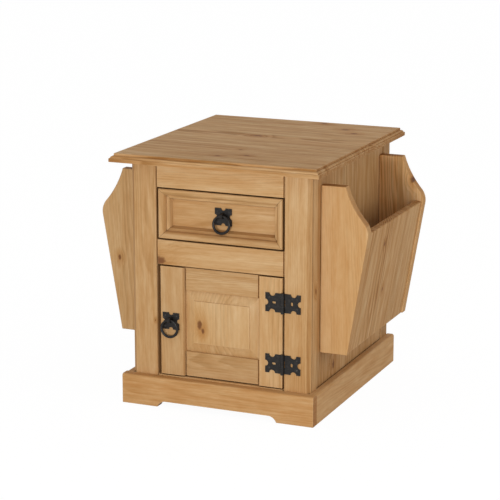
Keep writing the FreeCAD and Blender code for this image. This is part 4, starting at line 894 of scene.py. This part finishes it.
class TABLE_OT_forge_rings(bpy.types.Operator):
    """Tapered rings in the eyes of both pulls"""
    bl_idname = "table.forge_rings"
    bl_label = "Forge rings"

    def execute(self, context):
        finish = context.scene.table_iron
        iron = bpy.data.materials["black_lacquered_iron"]
        pivots = {
            joint["child"]: Vector(joint["pos_m"]) for joint in frame["joints"] if joint["type"] == "hinge"}
        for node in ("drawer_ring", "door_ring"):
            low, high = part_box(node)
            centre = (low + high) / 2
            radius = (centre - pivots[node]).length
            wire = (high.x - low.x) / 2 - radius
            ring = forged_ring(centre, pivots[node], radius, wire, finish.ring_taper)
            iron_piece(f"forged_{node}", [ring], node, node, iron)
        return {"FINISHED"}


class TABLE_OT_set_screws(bpy.types.Operator):
    """Domed slotted screws in the hinge leaves"""
    bl_idname = "table.set_screws"
    bl_label = "Set hinge screws"

    def execute(self, context):
        finish = context.scene.table_iron
        iron = bpy.data.materials["black_lacquered_iron"]
        head = domed_head(finish.screw_head, finish.screw_dome, finish.screw_slot)
        for body, owner in (("cabinet", "post"), ("door", "door")):
            node = f"{owner}_hinge_screws"
            low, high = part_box(node)
            levels = [sum(corner.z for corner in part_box(f"{owner}_hinge_leaf_{level}")) / 2
                      for level in ("lower", "upper")]
            rise = high.z - finish.screw_head - levels[1]
            places = [((low.x + high.x) / 2, level + step * rise) for level in levels for step in (-1, 1)]
            heads = set_heads(places, low.y + finish.screw_dome, head, SCREW_TURNS)
            iron_piece(f"slotted_{node}", heads, body, node, iron)
        return {"FINISHED"}


class TABLE_OT_set_nails(bpy.types.Operator):
    """Round nail heads in the pull plates"""
    bl_idname = "table.set_nails"
    bl_label = "Set plate nails"

    def execute(self, context):
        finish = context.scene.table_iron
        iron = bpy.data.materials["black_lacquered_iron"]
        head = domed_head(finish.nail_head, finish.nail_dome, 0)
        for body in ("drawer", "door"):
            node = f"{body}_pull_nails"
            low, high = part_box(node)
            inset = finish.nail_head
            places = [
                (x, z) for x in (low.x + inset, high.x - inset) for z in (low.z + inset, high.z - inset)]
            heads = set_heads(places, low.y + finish.nail_dome, head, NAIL_TURNS)
            iron_piece(f"round_{node}", heads, body, node, iron)
        return {"FINISHED"}


class TABLE_OT_set_stage(bpy.types.Operator):
    """Floor, light and camera"""
    bl_idname = "table.set_stage"
    bl_label = "Set stage"

    def execute(self, context):
        studio = context.scene.table_studio
        studio_floor(studio)
        studio_world(studio)
        softboxes(studio)
        studio_camera(studio)
        context.scene.view_settings.view_transform = "Standard"
        return {"FINISHED"}


OPERATORS = (
    TABLE_OT_dress_top, TABLE_OT_dress_cabinet, TABLE_OT_dress_plinth, TABLE_OT_dress_racks,
    TABLE_OT_dress_drawer, TABLE_OT_dress_door, TABLE_OT_dress_hidden, TABLE_OT_dress_ironwork,
    TABLE_OT_forge_rings, TABLE_OT_set_screws, TABLE_OT_set_nails, TABLE_OT_set_stage,
)


class TABLE_PT_steps(bpy.types.Panel):
    """Finishes and steps of the magazine table"""
    bl_label = "Magazine table"
    bl_idname = "TABLE_PT_steps"
    bl_space_type = "VIEW_3D"
    bl_region_type = "UI"
    bl_category = "Table"

    def draw(self, context):
        for finish in (context.scene.table_pine, context.scene.table_iron, context.scene.table_studio):
            for name in finish.bl_rna.properties.keys():
                if name not in ("rna_type", "name"):
                    self.layout.prop(finish, name)
        for operator in OPERATORS:
            self.layout.operator(operator.bl_idname)


CLASSES = (PineFinish, IronFinish, Studio, *OPERATORS, TABLE_PT_steps)


def register():
    for item in CLASSES:
        bpy.utils.register_class(item)
    bpy.types.Scene.table_pine = PointerProperty(type=PineFinish)
    bpy.types.Scene.table_iron = PointerProperty(type=IronFinish)
    bpy.types.Scene.table_studio = PointerProperty(type=Studio)


def unregister():
    del bpy.types.Scene.table_studio
    del bpy.types.Scene.table_iron
    del bpy.types.Scene.table_pine
    for item in reversed(CLASSES):
        bpy.utils.unregister_class(item)


def main():
    """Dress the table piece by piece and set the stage."""
    register()
    bpy.ops.table.dress_top()
    bpy.ops.table.dress_cabinet()
    bpy.ops.table.dress_plinth()
    bpy.ops.table.dress_racks()
    bpy.ops.table.dress_drawer()
    bpy.ops.table.dress_door()
    bpy.ops.table.dress_hidden()
    bpy.ops.table.dress_ironwork()
    bpy.ops.table.forge_rings()
    bpy.ops.table.set_screws()
    bpy.ops.table.set_nails()
    bpy.ops.table.set_stage()


if __name__ == "__main__":
    main()
